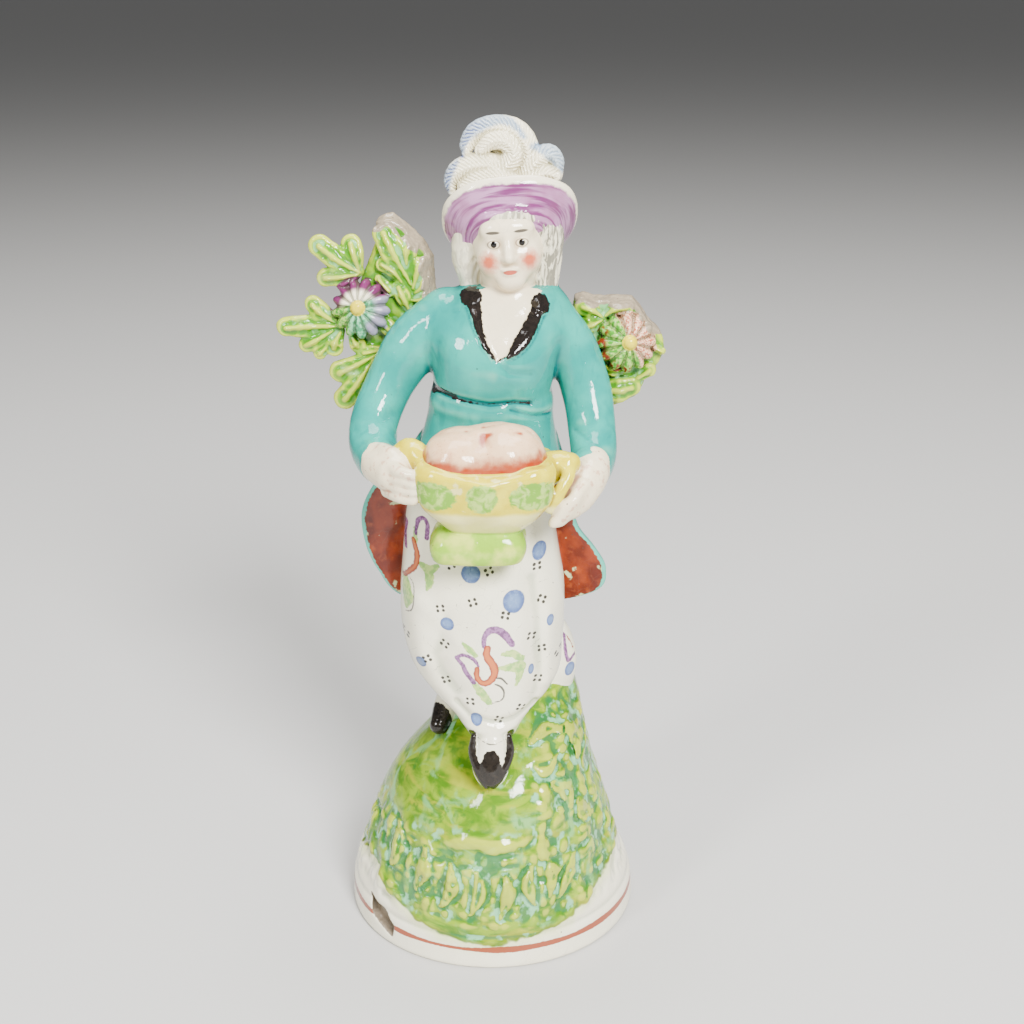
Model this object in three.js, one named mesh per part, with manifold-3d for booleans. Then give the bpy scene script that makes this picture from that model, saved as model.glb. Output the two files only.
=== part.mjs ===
// An early nineteenth-century lead-glazed earthenware figure, 190 mm tall: a woman in a plumed hat and a
// jacket carries a footed tureen and stands on a round mound, with the broken leaf sprays of a bocage behind.
// Millimetres, +Z up, the figure faces -Y, and the origin is the middle of the base's flat underside.
// It was pressed in moulds, joined with slip and fired as one piece, so all forms are fused into one solid.

import * as THREE from 'three';
import { LoftGeometry } from 'three/addons/geometries/LoftGeometry.js';
import { mergeVertices } from 'three/addons/utils/BufferGeometryUtils.js';
import Module from 'manifold-3d';

const wasm = await Module();
wasm.setup();

// Driving dimensions
const BASE_RADIUS = 35.2;
const HEAD_TILT = - 5;
const HEAD_CENTRE = [ 4, - 1.5, 164 ];
const HAT_CENTRE = [ 4.4, 2.4, 166.8 ];
const BRIM_TILT = - 50;
const BRIM_RADIUS = 14.9;
const BRIM_THICKNESS = 1.6;
const TUREEN_X = - 0.8;
const TUREEN_Y = - 25.4;
const LEAF_Y = 6;
const LEAF_THICKNESS = 2.1;
const SLAB_THICKNESS = 3.6;
const FLOWER_RADIUS = 6.1;

const TAU = 2 * Math.PI;
const point = ( x, y, z ) => new THREE.Vector3( x, y, z );

// Rows of oval sections from the bottom up: [ height, left, right, front, back ].

const MOUND = [
	[ 0, - BASE_RADIUS, BASE_RADIUS, - BASE_RADIUS, 34.4 ],
	[ 8, - 34.5, 34.6, - 34.8, 33.7 ],
	[ 18, - 31.4, 31.8, - 34.0, 31.2 ],
	[ 25, - 29.0, 29.8, - 33.4, 29.8 ],
	[ 31, - 26.2, 27.8, - 32.0, 28.6 ],
	[ 37, - 22.4, 26.4, - 30.6, 27.4 ],
	[ 42, - 17.8, 25.2, - 28.6, 26.4 ],
	[ 47, - 12.6, 24.2, - 24.6, 25.4 ],
	[ 58, - 7.6, 21.4, - 12.0, 22.8 ],
	[ 64, - 5.0, 17.6, - 6.0, 21.0 ]
];

const SKIRT = [
	[ 54.5, - 4.3, 5.0, - 27.3, - 16.0 ],
	[ 60, - 9.2, 9.4, - 27.6, - 4.0 ],
	[ 63.5, - 13.2, 13.2, - 27.4, 1.0 ],
	[ 67.5, - 17.2, 15.7, - 27.0, 5.0 ],
	[ 73, - 19.7, 16.3, - 26.6, 8.0 ],
	[ 86, - 20.8, 16.9, - 24.8, 10.0 ],
	[ 94, - 20.2, 15.6, - 22.4, 10.0 ],
	[ 102, - 19.4, 14.4, - 20.0, 10.0 ],
	[ 112, - 17.6, 14.0, - 16.6, 10.0 ]
];

const TORSO = [
	[ 108, - 19.8, 17.4, - 15.6, 13.0 ],
	[ 121, - 15.2, 14.8, - 13.6, 11.2 ],
	[ 130, - 13.3, 13.9, - 13.6, 10.4 ],
	[ 134, - 13.0, 14.6, - 14.6, 10.5 ],
	[ 139, - 13.2, 15.8, - 15.0, 10.8 ],
	[ 144, - 14.4, 17.6, - 13.4, 10.8 ],
	[ 148, - 12.8, 17.0, - 10.8, 10.2 ],
	[ 151, - 9.6, 16.2, - 8.6, 9.4 ],
	[ 154, - 5.6, 14.4, - 6.4, 8.4 ]
];

const JACKET_TAILS = [
	[ 78, - 17.0, 16.0, 0.5, 12.5 ],
	[ 80, - 20.8, 21.8, - 0.6, 13.4 ],
	[ 87.3, - 26.7, 26.7, - 2.0, 14.8 ],
	[ 92, - 28.8, 24.6, - 2.2, 15.2 ],
	[ 97.5, - 29.8, 20.4, - 2.2, 15.2 ],
	[ 103, - 29.4, 18.8, - 2.0, 14.8 ],
	[ 108, - 26.8, 18.0, - 1.6, 14.2 ],
	[ 114, - 20.6, 16.6, - 1.0, 13.2 ],
	[ 120, - 16.0, 15.0, 0.0, 12.0 ]
];

// The head's rows are measured from its centre.
const HEAD = [
	[ - 9.6, - 2.6, 2.6, - 7.8, 3.0 ],
	[ - 8.4, - 4.4, 4.4, - 9.2, 5.0 ],
	[ - 5.8, - 6.5, 6.5, - 9.6, 8.0 ],
	[ - 2.2, - 7.6, 7.6, - 9.4, 9.6 ],
	[ 1.6, - 8.2, 8.2, - 9.0, 10.2 ],
	[ 5.0, - 8.0, 8.0, - 9.2, 10.0 ],
	[ 8.4, - 6.8, 6.8, - 7.4, 8.4 ],
	[ 11.0, - 4.0, 4.0, - 3.6, 5.0 ]
];

// The tureen's rows: [ height, half width, half depth ].
const BOWL = [
	[ 106.6, 7.8, 6.2 ],
	[ 110.8, 12.2, 9.4 ],
	[ 113.8, 14.0, 10.6 ],
	[ 117.8, 14.7, 11.0 ],
	[ 120.8, 15.0, 11.2 ],
	[ 122.2, 14.4, 10.4 ]
];

const FOOT = [
	[ 100.2, 9.4, 7.4 ],
	[ 101.2, 9.9, 7.9 ],
	[ 105.6, 9.6, 7.6 ],
	[ 107.0, 8.4, 6.8 ]
];

// The bocage's leaves. Each lobe runs from a root to a tip: [ root x, root z, tip x, tip z, width ].
const LEFT_LOBES = [
	[ - 27.0, 153.0, - 40.2, 162.8, 8.4 ],
	[ - 27.5, 154.0, - 30.8, 164.0, 6.6 ],
	[ - 28.0, 152.4, - 39.4, 153.0, 6.6 ],
	[ - 29.0, 143.6, - 48.8, 142.8, 8.0 ],
	[ - 31.5, 143.8, - 41.8, 150.0, 6.6 ],
	[ - 29.0, 143.0, - 42.6, 136.8, 7.2 ],
	[ - 24.0, 142.6, - 34.8, 123.2, 9.0 ],
	[ - 25.0, 140.4, - 37.6, 131.6, 7.6 ],
	[ - 17.6, 149.6, - 26.4, 166.0, 7.6 ],
	[ - 17.0, 148.0, - 24.4, 155.4, 5.0 ],
	[ - 17.0, 149.4, - 12.6, 157.4, 5.6 ]
];

const RIGHT_LOBES = [
	[ 25.0, 146.4, 20.4, 140.6, 6.4 ],
	[ 25.2, 146.4, 33.2, 149.4, 5.4 ],
	[ 22.6, 133.6, 31.6, 132.4, 7.6 ],
	[ 24.0, 128.4, 35.0, 128.0, 6.8 ],
	[ 30.0, 138.0, 40.4, 138.0, 6.4 ]
];

// Where a bough has broken off, its slab ends in a rough edge: [ x, z ].
const LEFT_SLAB = [
	[ - 25.4, 163.0 ], [ - 25.0, 167.8 ], [ - 21.6, 168.8 ], [ - 18.3, 166.4 ], [ - 14.0, 162.4 ],
	[ - 12.3, 158.8 ], [ - 11.8, 149.0 ], [ - 16.0, 140.0 ], [ - 24.0, 131.0 ], [ - 30.0, 134.0 ],
	[ - 33.0, 143.0 ], [ - 29.0, 155.0 ]
];

const RIGHT_SLAB = [
	[ 18.9, 150.0 ], [ 20.9, 150.9 ], [ 27.1, 150.0 ], [ 32.3, 150.0 ], [ 35.8, 145.0 ], [ 38.2, 141.2 ],
	[ 39.4, 137.8 ], [ 38.2, 134.6 ], [ 34.8, 129.6 ], [ 33.8, 127.0 ], [ 29.4, 124.8 ], [ 22.0, 125.2 ],
	[ 17.0, 138.0 ]
];

// A manifold-3d solid from a closed three.js geometry.
function solid( geometry ) {

	const bare = new THREE.BufferGeometry().setAttribute( 'position', geometry.getAttribute( 'position' ) );
	if ( geometry.index ) bare.setIndex( geometry.index );
	const merged = mergeVertices( bare, 1e-4 );
	return new wasm.Manifold( new wasm.Mesh( {
		numProp: 3,
		vertProperties: merged.getAttribute( 'position' ).array,
		triVerts: new Uint32Array( merged.index.array )
	} ) );

}

// The three.js geometry of a manifold-3d solid.
function geometryOf( made ) {

	const mesh = made.getMesh();
	const geometry = new THREE.BufferGeometry();
	geometry.setAttribute( 'position', new THREE.BufferAttribute( mesh.vertProperties, 3 ) );
	geometry.setIndex( new THREE.BufferAttribute( mesh.triVerts, 1 ) );
	geometry.computeVertexNormals();
	return geometry;

}

// A closed loft through sections that wind anticlockwise about the way it runs.
const loft = ( sections ) => new LoftGeometry( sections, { capStart: true, capEnd: true } );

// An oval ring at one height. A power over 2 squares it off, and swell( angle, z ) adds to its radius.
function ovalRing( z, x, y, rx, ry, count, power = 2, swell = () => 0 ) {

	const ring = [];
	for ( let i = 0; i < count; i ++ ) {

		const a = i / count * TAU;
		const c = Math.cos( a );
		const s = Math.sin( a );
		const reach = Math.pow( Math.abs( c ) ** power + Math.abs( s ) ** power, - 1 / power );
		const more = swell( a, z );
		ring.push( point( x + ( rx * reach + more ) * c, y + ( ry * reach + more ) * s, z ) );

	}

	return ring;

}

// A loft through rows of [ height, left, right, front, back ].
function stack( rows, count, power, swell ) {

	return loft( rows.map( ( [ z, left, right, front, back ] ) =>
		ovalRing( z, ( left + right ) / 2, ( front + back ) / 2, ( right - left ) / 2, ( back - front ) / 2,
			count, power, swell ) ) );

}

// A scaled and turned sphere. turn is [ x, y, z ] in degrees.
function ellipsoid( centre, radii, turn = [ 0, 0, 0 ], across = 12, down = 8 ) {

	const turned = new THREE.Quaternion().setFromEuler(
		new THREE.Euler( ...turn.map( THREE.MathUtils.degToRad ) ) );
	const placed = new THREE.Matrix4().compose( point( ...centre ), turned, point( ...radii ) );
	return new THREE.SphereGeometry( 1, across, down ).applyMatrix4( placed );

}

// A round limb along a smooth curve through stations, each [ x, y, z, radius ].
function limb( stations, count, rings ) {

	const curve = new THREE.CatmullRomCurve3( stations.map( ( s ) => point( s[ 0 ], s[ 1 ], s[ 2 ] ) ) );
	const sections = [];
	for ( let i = 0; i <= rings; i ++ ) {

		const t = i / rings;
		const along = curve.getTangent( t );
		const side = along.clone().cross( point( 0, - 1, 0 ) ).normalize();
		const up = along.clone().cross( side );
		const place = t * ( stations.length - 1 );
		const k = Math.min( Math.floor( place ), stations.length - 2 );
		const radius = THREE.MathUtils.lerp( stations[ k ][ 3 ], stations[ k + 1 ][ 3 ], place - k );
		const centre = curve.getPoint( t );
		const ring = [];
		for ( let j = 0; j < count; j ++ ) {

			const a = j / count * TAU;
			ring.push( centre.clone()
				.addScaledVector( side, radius * Math.cos( a ) )
				.addScaledVector( up, radius * Math.sin( a ) ) );

		}

		sections.push( ring );

	}

	return loft( sections );

}

// Moves forms that were made about the origin to where the head or hat is, and tips them.
function tipped( forms, centre, pitch, roll ) {

	const turn = new THREE.Quaternion().setFromEuler(
		new THREE.Euler( THREE.MathUtils.degToRad( pitch ), THREE.MathUtils.degToRad( roll ), 0 ) );
	const placed = new THREE.Matrix4().compose( point( ...centre ), turn, point( 1, 1, 1 ) );
	return forms.map( ( form ) => form.applyMatrix4( placed ) );

}

// Mound

function mound() {

	const lumps = ( a, z ) => z > 10 && z < 60 ? 0.8 * Math.sin( 5 * a + 0.35 * z ) : 0;
	return stack( MOUND, 30, 2, lumps );

}

// Dress, feet and jacket

function dress() {

	const folds = ( a, z ) => ( z < 106 && a > Math.PI ? 0.9 * Math.sin( 7 * a + 0.05 * z ) : 0 );
	return [
		stack( SKIRT, 26, 2.2, folds ),
		ellipsoid( [ 12.6, 1, 67 ], [ 8.4, 10, 15 ], [ 0, 6, 0 ], 12, 8 ),
		ellipsoid( [ 1, 2, 64 ], [ 15, 11, 13 ], [ 0, - 8, 0 ], 12, 7 ),
		limb( [ [ 0.4, - 21.5, 59, 4.4 ], [ 0.4, - 25, 54.5, 4.0 ], [ 0.3, - 27, 51, 3.8 ] ], 10, 3 )
	];

}

function shoes() {

	return [
		ellipsoid( [ 0.2, - 27.6, 49.6 ], [ 4.2, 3.6, 6.8 ], [ - 18, 0, 0 ], 10, 6 ),
		limb( [ [ - 8, 0, 58, 3.4 ], [ - 10.6, - 4, 53, 3.4 ], [ - 12, - 8, 49.6, 2.6 ] ], 8, 3 )
	];

}

// The tails have a nearly flat front, where their lining shows on either side of the dress.
function tails() {

	const around = 16;
	const front_bulge = 1.2;
	return loft( JACKET_TAILS.map( ( [ z, left, right, front, back ] ) => {

		const ring = [];
		for ( let i = 0; i < around; i ++ ) {

			const a = i / around * TAU;
			const depth = Math.sin( a ) > 0 ? back - front : front_bulge;
			ring.push( point( ( left + right ) / 2 + ( right - left ) / 2 * Math.cos( a ),
				front + depth * Math.sin( a ), z ) );

		}

		return ring;

	} ) );

}

function sleeves() {

	return [
		limb( [ [ - 9.5, 0.5, 146.5, 6.6 ], [ - 16.5, - 0.5, 141, 6.4 ], [ - 22.4, - 2.5, 132, 5.5 ],
			[ - 26, - 7, 123.5, 5.3 ], [ - 25.4, - 13.5, 119.6, 4.9 ], [ - 23.4, - 19.5, 118.6, 4.2 ] ], 9, 8 ),
		limb( [ [ 12.5, 0.5, 146, 6.6 ], [ 17.8, - 0.5, 139.5, 6.0 ], [ 21.4, - 2.5, 130.5, 5.5 ],
			[ 22.8, - 7, 121.6, 5.3 ], [ 22.6, - 13, 117.6, 4.9 ], [ 21.6, - 18, 116.4, 4.2 ] ], 9, 8 )
	];

}

// Each lapel runs from a round end beside the neck down to the point of the neckline.
function lapels() {

	return [
		limb( [ [ - 3.8, - 9.6, 152 ], [ - 2.4, - 12.4, 147 ], [ 1.2, - 14.8, 141 ] ].map(
			( p ) => [ ...p, 1.3 ] ), 6, 3 ),
		limb( [ [ 10.8, - 9.6, 151 ], [ 8.2, - 12.6, 146 ], [ 2.2, - 14.8, 141 ] ].map(
			( p ) => [ ...p, 1.3 ] ), 6, 3 ),
		ellipsoid( [ - 3.8, - 10.2, 152 ], [ 2.4, 1.8, 2 ], [ 0, 0, 0 ], 8, 5 ),
		ellipsoid( [ 10.8, - 10.2, 151 ], [ 2.2, 1.8, 2.2 ], [ 0, 0, 0 ], 8, 5 )
	];

}

function jacket() {

	return [ stack( TORSO, 18, 2.3 ), tails(), ...sleeves(), ...lapels() ];

}

// A palm with four fingers that curl round a handle, and a thumb above them.
function hand( wrist, knuckles, tips, thumb ) {

	const fingers = 4;
	const spacing = 1.9;
	const from = point( ...wrist );
	const to = point( ...knuckles );
	const palm = from.clone().lerp( to, 0.5 );
	const parts = [
		limb( [ [ ...from, 3.4 ], [ ...palm, 4.2 ], [ ...to, 3.4 ] ], 8, 3 ),
		limb( [ [ ...palm, 1.8 ], [ ...thumb, 1.3 ] ], 5, 2 )
	];
	for ( let i = 0; i < fingers; i ++ ) {

		const across = ( i - ( fingers - 1 ) / 2 ) * spacing;
		const root = to.clone().add( point( 0, 0, across ) );
		const tip = point( ...tips ).add( point( 0, 0, across ) );
		const bend = root.clone().lerp( tip, 0.5 ).add( point( 0, - 1.1, 0 ) );
		parts.push( limb( [ [ ...root, 1.3 ], [ ...bend, 1.2 ], [ ...tip, 1.0 ] ], 5, 2 ) );

	}

	return parts;

}

function hands() {

	return [
		...hand( [ - 23.4, - 19, 118.8 ], [ - 19.8, - 27.4, 118.6 ], [ - 14.8, - 31, 119 ], [ - 18, - 25.6, 123 ] ),
		...hand( [ 21.6, - 17.6, 116.8 ], [ 18.8, - 26, 114.6 ], [ 14.2, - 30.2, 112.6 ], [ 17.8, - 25, 119 ] )
	];

}

// Head, hair and hat

function head() {

	const noseAndMouth = [
		limb( [ [ 0, - 8.6, 0.6, 0.8 ], [ 0, - 10.2, - 2.4, 1.2 ], [ 0, - 10.2, - 3.6, 1.4 ] ], 6, 2 ),
		ellipsoid( [ 0, - 9.5, - 5.8 ], [ 1.9, 0.8, 0.7 ], [ 0, 0, 0 ], 6, 4 )
	];
	const skull = stack( HEAD, 16, 2.1 );
	return [
		...tipped( [ skull, ...noseAndMouth ], HEAD_CENTRE, 0, HEAD_TILT ),
		limb( [ [ 4, - 0.5, 144, 6.8 ], [ 4, - 1, 151, 5.8 ], [ 4, - 1.5, 158, 5.4 ] ], 10, 2 )
	];

}

function hair() {

	return [
		ellipsoid( [ - 3.6, 1.4, 160.5 ], [ 4.2, 5.4, 9 ], [ 0, 6, 0 ], 10, 6 ),
		ellipsoid( [ 11.6, 1, 160.5 ], [ 4.2, 5.6, 9.4 ], [ 0, 2, 0 ], 10, 6 ),
		ellipsoid( [ 4.2, 5, 159 ], [ 9, 6.4, 9 ], [ 0, 0, 0 ], 10, 6 )
	];

}

// The brim is a shallow dish on the back of the head with its front edge up, and the crown is behind it.
function hat() {

	const count = 24;
	const ring = ( share, z ) => ovalRing( z, 0, 0, BRIM_RADIUS * share, BRIM_RADIUS * share, count );
	const brim = loft( [
		ring( 0.55, - 1.6 ),
		ring( 0.8, - 0.9 ),
		ring( 0.985, 0 ),
		ring( 1, BRIM_THICKNESS / 2 ),
		ring( 0.96, BRIM_THICKNESS ),
		ring( 0.6, BRIM_THICKNESS + 0.8 )
	] );
	const crown = loft( [ ring( 0.66, 0 ), ring( 0.62, 5 ), ring( 0.52, 7.4 ), ring( 0.32, 8.6 ) ] );
	return tipped( [ brim, crown ], HAT_CENTRE, BRIM_TILT, HEAD_TILT );

}

// The plume is a bunch of feathers that curl over to the front in round lobes.
function plume() {

	return [
		ellipsoid( [ 0.8, - 1, 182.6 ], [ 7.6, 5.4, 7.4 ], [ 0, 0, 0 ], 12, 7 ),
		ellipsoid( [ - 3.8, - 2.4, 177.2 ], [ 6.2, 5, 4.8 ], [ 0, 20, 0 ], 10, 6 ),
		ellipsoid( [ 10.8, - 1.4, 179 ], [ 5.2, 4.6, 5.0 ], [ 0, 0, 0 ], 10, 6 ),
		ellipsoid( [ 4, 0, 177.6 ], [ 9.4, 5.4, 5.4 ], [ 0, - 6, 0 ], 12, 6 )
	];

}

// Tureen

function tureen() {

	const flutes = ( a ) => 0.4 * Math.cos( 6 * a + Math.PI );
	const bowl = loft( BOWL.map( ( [ z, rx, ry ] ) =>
		ovalRing( z, TUREEN_X, TUREEN_Y, rx, ry, 24, 3, flutes ) ) );
	const foot = loft( FOOT.map( ( [ z, rx, ry ] ) =>
		ovalRing( z, TUREEN_X - 1.6, TUREEN_Y, rx, ry, 20, 5 ) ) );
	return [
		bowl,
		foot,
		ellipsoid( [ - 16.4, TUREEN_Y + 3.6, 122.4 ], [ 3.8, 3, 2.8 ], [ 0, - 30, 0 ], 8, 5 ),
		limb( [ [ 12, TUREEN_Y + 3.4, 116.6, 4.2 ], [ 15.2, TUREEN_Y + 3.8, 117.4, 3.6 ],
			[ 17.4, TUREEN_Y + 4.2, 119, 2.6 ] ], 8, 3 )
	];

}

function food() {

	return [
		ellipsoid( [ - 5.2, TUREEN_Y, 122.6 ], [ 8.6, 8.6, 6.0 ], [ 0, 8, 0 ], 12, 6 ),
		ellipsoid( [ 4.6, TUREEN_Y, 122.2 ], [ 8.6, 8.6, 7.2 ], [ 0, - 4, 0 ], 12, 6 )
	];

}

// Bocage

// A leaf's lobe is a flattened drop that lies in the plane of the bocage.
function lobe( [ rootX, rootZ, tipX, tipZ, width ] ) {

	const along = point( tipX - rootX, 0, tipZ - rootZ );
	const across = along.clone().normalize().cross( point( 0, - 1, 0 ) );
	const placed = new THREE.Matrix4()
		.makeBasis( across.multiplyScalar( width / 2 ), along.clone().divideScalar( 2 ),
			point( 0, - LEAF_THICKNESS, 0 ) )
		.setPosition( ( rootX + tipX ) / 2, LEAF_Y - 1, ( rootZ + tipZ ) / 2 );
	return new THREE.SphereGeometry( 1, 8, 5 ).applyMatrix4( placed );

}

function slab( outline ) {

	const shape = new THREE.Shape( outline.map( ( [ x, z ] ) => new THREE.Vector2( x, z ) ) );
	return new THREE.ExtrudeGeometry( shape, { depth: SLAB_THICKNESS, bevelEnabled: false } )
		.rotateX( Math.PI / 2 ).translate( 0, LEAF_Y + SLAB_THICKNESS, 0 );

}

// A domed flower with scalloped petals and a round boss, facing the way that facing says.
function flower( at, facing ) {

	const petals = 10;
	const rows = [ [ 0, 0.8 ], [ 1.8, 1 ], [ 3.2, 0.9 ], [ 4.6, 0.34 ], [ 5.8, 0.2 ] ];
	const scallop = ( a, z ) => z > 1 && z < 3.5 ? 0.07 * FLOWER_RADIUS * Math.cos( petals * a ) : 0;
	const face = loft( rows.map( ( [ z, share ] ) =>
		ovalRing( z, 0, 0, FLOWER_RADIUS * share, FLOWER_RADIUS * share, 2 * petals, 2, scallop ) ) );
	const turn = new THREE.Quaternion().setFromUnitVectors( point( 0, 0, 1 ), point( ...facing ).normalize() );
	return face.applyMatrix4( new THREE.Matrix4().compose( point( ...at ), turn, point( 1, 1, 1 ) ) );

}

// The trunk behind the woman, and a bough to either side.
function trunk() {

	return [
		limb( [ [ 5, 15, 52, 12 ], [ 1, 13.4, 76, 8.6 ], [ 3, 12.6, 100, 7.6 ], [ 0, 11, 124, 7.2 ],
			[ 1, 9.6, 143, 5.4 ] ], 10, 8 ),
		limb( [ [ 0, 11, 132, 5 ], [ - 10, 10, 139, 4.4 ], [ - 22, 8, 146, 3.6 ] ], 8, 3 ),
		limb( [ [ 2, 11, 134, 5 ], [ 13, 10, 140, 4.2 ], [ 26, 8, 140, 3.6 ] ], 8, 3 )
	];

}

function bocage() {

	return [
		...trunk(),
		slab( LEFT_SLAB ),
		slab( RIGHT_SLAB ),
		...LEFT_LOBES.map( lobe ),
		...RIGHT_LOBES.map( lobe ),
		flower( [ - 28.4, 3.6, 148.8 ], [ - 0.12, - 1, 0.1 ] ),
		flower( [ 31.4, 3.6, 140.2 ], [ 0.25, - 1, 0.15 ] )
	];

}

const forms = [ mound(), ...dress(), ...shoes(), ...jacket(), ...hands(), ...head(), ...hair(), ...hat(),
	...plume(), ...tureen(), ...food(), ...bocage() ];

const glaze = new THREE.MeshStandardMaterial( { color: 0xe9e4d6, roughness: 0.15, metalness: 0 } );
const figure = new THREE.Mesh( geometryOf( wasm.Manifold.union( forms.map( solid ) ) ), glaze );
figure.name = 'figure';

const part = new THREE.Group();
part.add( figure );

export default part;
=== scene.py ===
import math
import bpy
import numpy as np
import openvdb
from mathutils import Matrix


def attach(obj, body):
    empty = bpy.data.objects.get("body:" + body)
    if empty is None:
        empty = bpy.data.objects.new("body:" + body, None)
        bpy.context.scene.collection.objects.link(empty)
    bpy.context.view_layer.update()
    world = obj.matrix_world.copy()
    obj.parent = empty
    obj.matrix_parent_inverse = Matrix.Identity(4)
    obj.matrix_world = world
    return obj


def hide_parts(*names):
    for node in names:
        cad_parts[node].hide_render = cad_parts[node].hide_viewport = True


# An early nineteenth-century glazed earthenware figure: a woman in a plumed hat carries a footed tureen and
# stands on a mound in front of a broken bocage. Every form is sculpted as a signed distance on a fine grid, in
# the millimetres of the solids, and each glaze region is one closed piece that meets its neighbours in a crease.

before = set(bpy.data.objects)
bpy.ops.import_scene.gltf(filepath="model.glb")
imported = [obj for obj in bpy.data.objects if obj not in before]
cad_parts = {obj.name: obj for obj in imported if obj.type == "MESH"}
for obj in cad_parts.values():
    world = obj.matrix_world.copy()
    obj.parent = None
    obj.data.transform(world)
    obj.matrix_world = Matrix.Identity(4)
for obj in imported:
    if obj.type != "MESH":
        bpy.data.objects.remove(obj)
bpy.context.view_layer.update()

MM = 0.001
COARSE = 1.0
FAR = 3.0
SEAM_BLEND = 0.7
SEAM_OVERLAP = 1.1

# Sizes that the solids state as well, in millimetres

BASE_RADIUS = 35.2
HEAD_CENTRE = (4.0, -1.5, 164.0)
HEAD_TILT = -5.0
HAT_CENTRE = (4.4, 2.4, 166.8)
BRIM_TILT = -50.0
BRIM_RADIUS = 14.9
BRIM_THICKNESS = 1.6
TUREEN_X, TUREEN_Y = -0.8, -25.4
LEAF_Y = 6.0
SLAB_THICKNESS = 3.6

# Rows of oval sections from the bottom up: height, left, right, front, back.

MOUND = [
    (0, -35.2, 35.2, -35.2, 34.4), (8, -34.5, 34.2, -34.8, 33.7), (13, -33.0, 32.4, -34.4, 32.4),
    (18, -31.4, 30.6, -34.0, 31.2), (25, -29.0, 28.6, -33.4, 29.8), (31, -26.2, 27.0, -32.0, 28.6),
    (37, -22.4, 25.2, -30.6, 27.4), (42, -17.8, 23.8, -28.6, 26.4), (47, -12.6, 22.6, -24.6, 25.4),
    (58, -7.6, 19.6, -12.0, 22.8), (64, -5.0, 17.0, -6.0, 21.0)]

MOUND_LEAVES = [
    [(13.2, 26.4, 0.3), (14.4, 22.4, 1.7), (13.6, 17.2, 0.4)], [(9.2, 25.6, 0.4), (8.6, 20.8, 1.6), (10.2, 15.4, 0.4)],
    [(19.2, 25.0, 0.4), (18.2, 20.6, 1.5), (15.8, 15.6, 0.4)], [(3.4, 24.0, 0.4), (4.0, 19.0, 1.8), (2.2, 13.4, 0.5)],
    [(-3.2, 25.0, 0.4), (-2.6, 20.0, 1.6), (-4.6, 14.0, 0.5)], [(-9.4, 26.0, 0.4), (-9.0, 20.6, 1.8), (-11.6, 15.0, 0.5)],
    [(-15.2, 28.0, 0.4), (-15.8, 22.6, 1.7), (-18.0, 17.0, 0.5)], [(-21.6, 30.0, 0.4), (-22.0, 25.0, 1.6), (-24.0, 19.6, 0.4)],
    [(20.4, 36.0, 0.5), (21.6, 32.6, 1.4), (24.0, 30.0, 0.4)], [(14.0, 43.0, 0.5), (17.4, 40.0, 1.5), (18.6, 35.6, 0.5)],
    [(9.0, 51.0, 0.4), (12.4, 52.6, 1.2), (16.4, 51.6, 0.5)], [(17.4, 52.0, 0.5), (20.0, 48.4, 1.4), (20.6, 44.0, 0.5)],
    [(10.2, 46.8, 0.4), (12.8, 45.4, 1.2), (15.2, 47.4, 0.4)]]

MOUND_CREST = [(-10.6, 30.6, 0.8), (-5.0, 31.8, 1.3), (1.6, 31.2, 1.3), (7.4, 31.4, 0.8)]

SKIRT = [
    (54.5, -4.3, 5.0, -27.3, -16.0), (60, -9.2, 9.4, -27.6, -4.0), (63.5, -13.2, 13.2, -27.4, 1.0),
    (67.5, -17.2, 15.7, -27.0, 5.0), (73, -19.7, 16.3, -26.6, 8.0), (86, -20.8, 16.9, -24.8, 10.0),
    (94, -20.2, 15.6, -22.4, 10.0), (102, -19.4, 14.4, -20.0, 10.0), (112, -17.6, 14.0, -16.6, 10.0)]

TORSO = [
    (108, -19.8, 17.4, -15.6, 13.0), (121, -15.2, 14.8, -13.6, 11.2), (130, -13.3, 13.9, -13.6, 10.4),
    (134, -13.0, 14.6, -14.6, 10.5), (139, -13.2, 15.8, -15.0, 10.8), (144, -14.4, 17.6, -13.4, 10.8),
    (148, -12.8, 17.0, -10.8, 10.2), (151, -9.6, 16.2, -8.6, 9.4), (154, -5.6, 14.4, -6.4, 8.4)]

JACKET_TAILS = [
    (78, -17.0, 16.0, 0.5, 12.5), (80, -20.8, 21.8, -0.6, 13.4), (87.3, -26.7, 26.7, -2.0, 14.8),
    (92, -28.8, 24.6, -2.2, 15.2), (97.5, -29.8, 20.4, -2.2, 15.2), (103, -29.4, 18.8, -2.0, 14.8),
    (108, -26.8, 18.0, -1.6, 14.2), (114, -20.6, 16.6, -1.0, 13.2), (120, -16.0, 15.0, 0.0, 12.0)]

BOWL = [
    (106.6, 7.8, 6.2), (110.8, 12.2, 9.4), (113.8, 14.0, 10.6), (117.8, 14.7, 11.0), (120.8, 15.0, 11.2),
    (122.2, 14.4, 10.4)]

FOOT = [(100.2, 9.4, 7.4), (101.2, 9.9, 7.9), (105.6, 9.6, 7.6), (107.0, 8.4, 6.8)]

# The bocage's leaves: root x and z, tip x and z, width.

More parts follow.
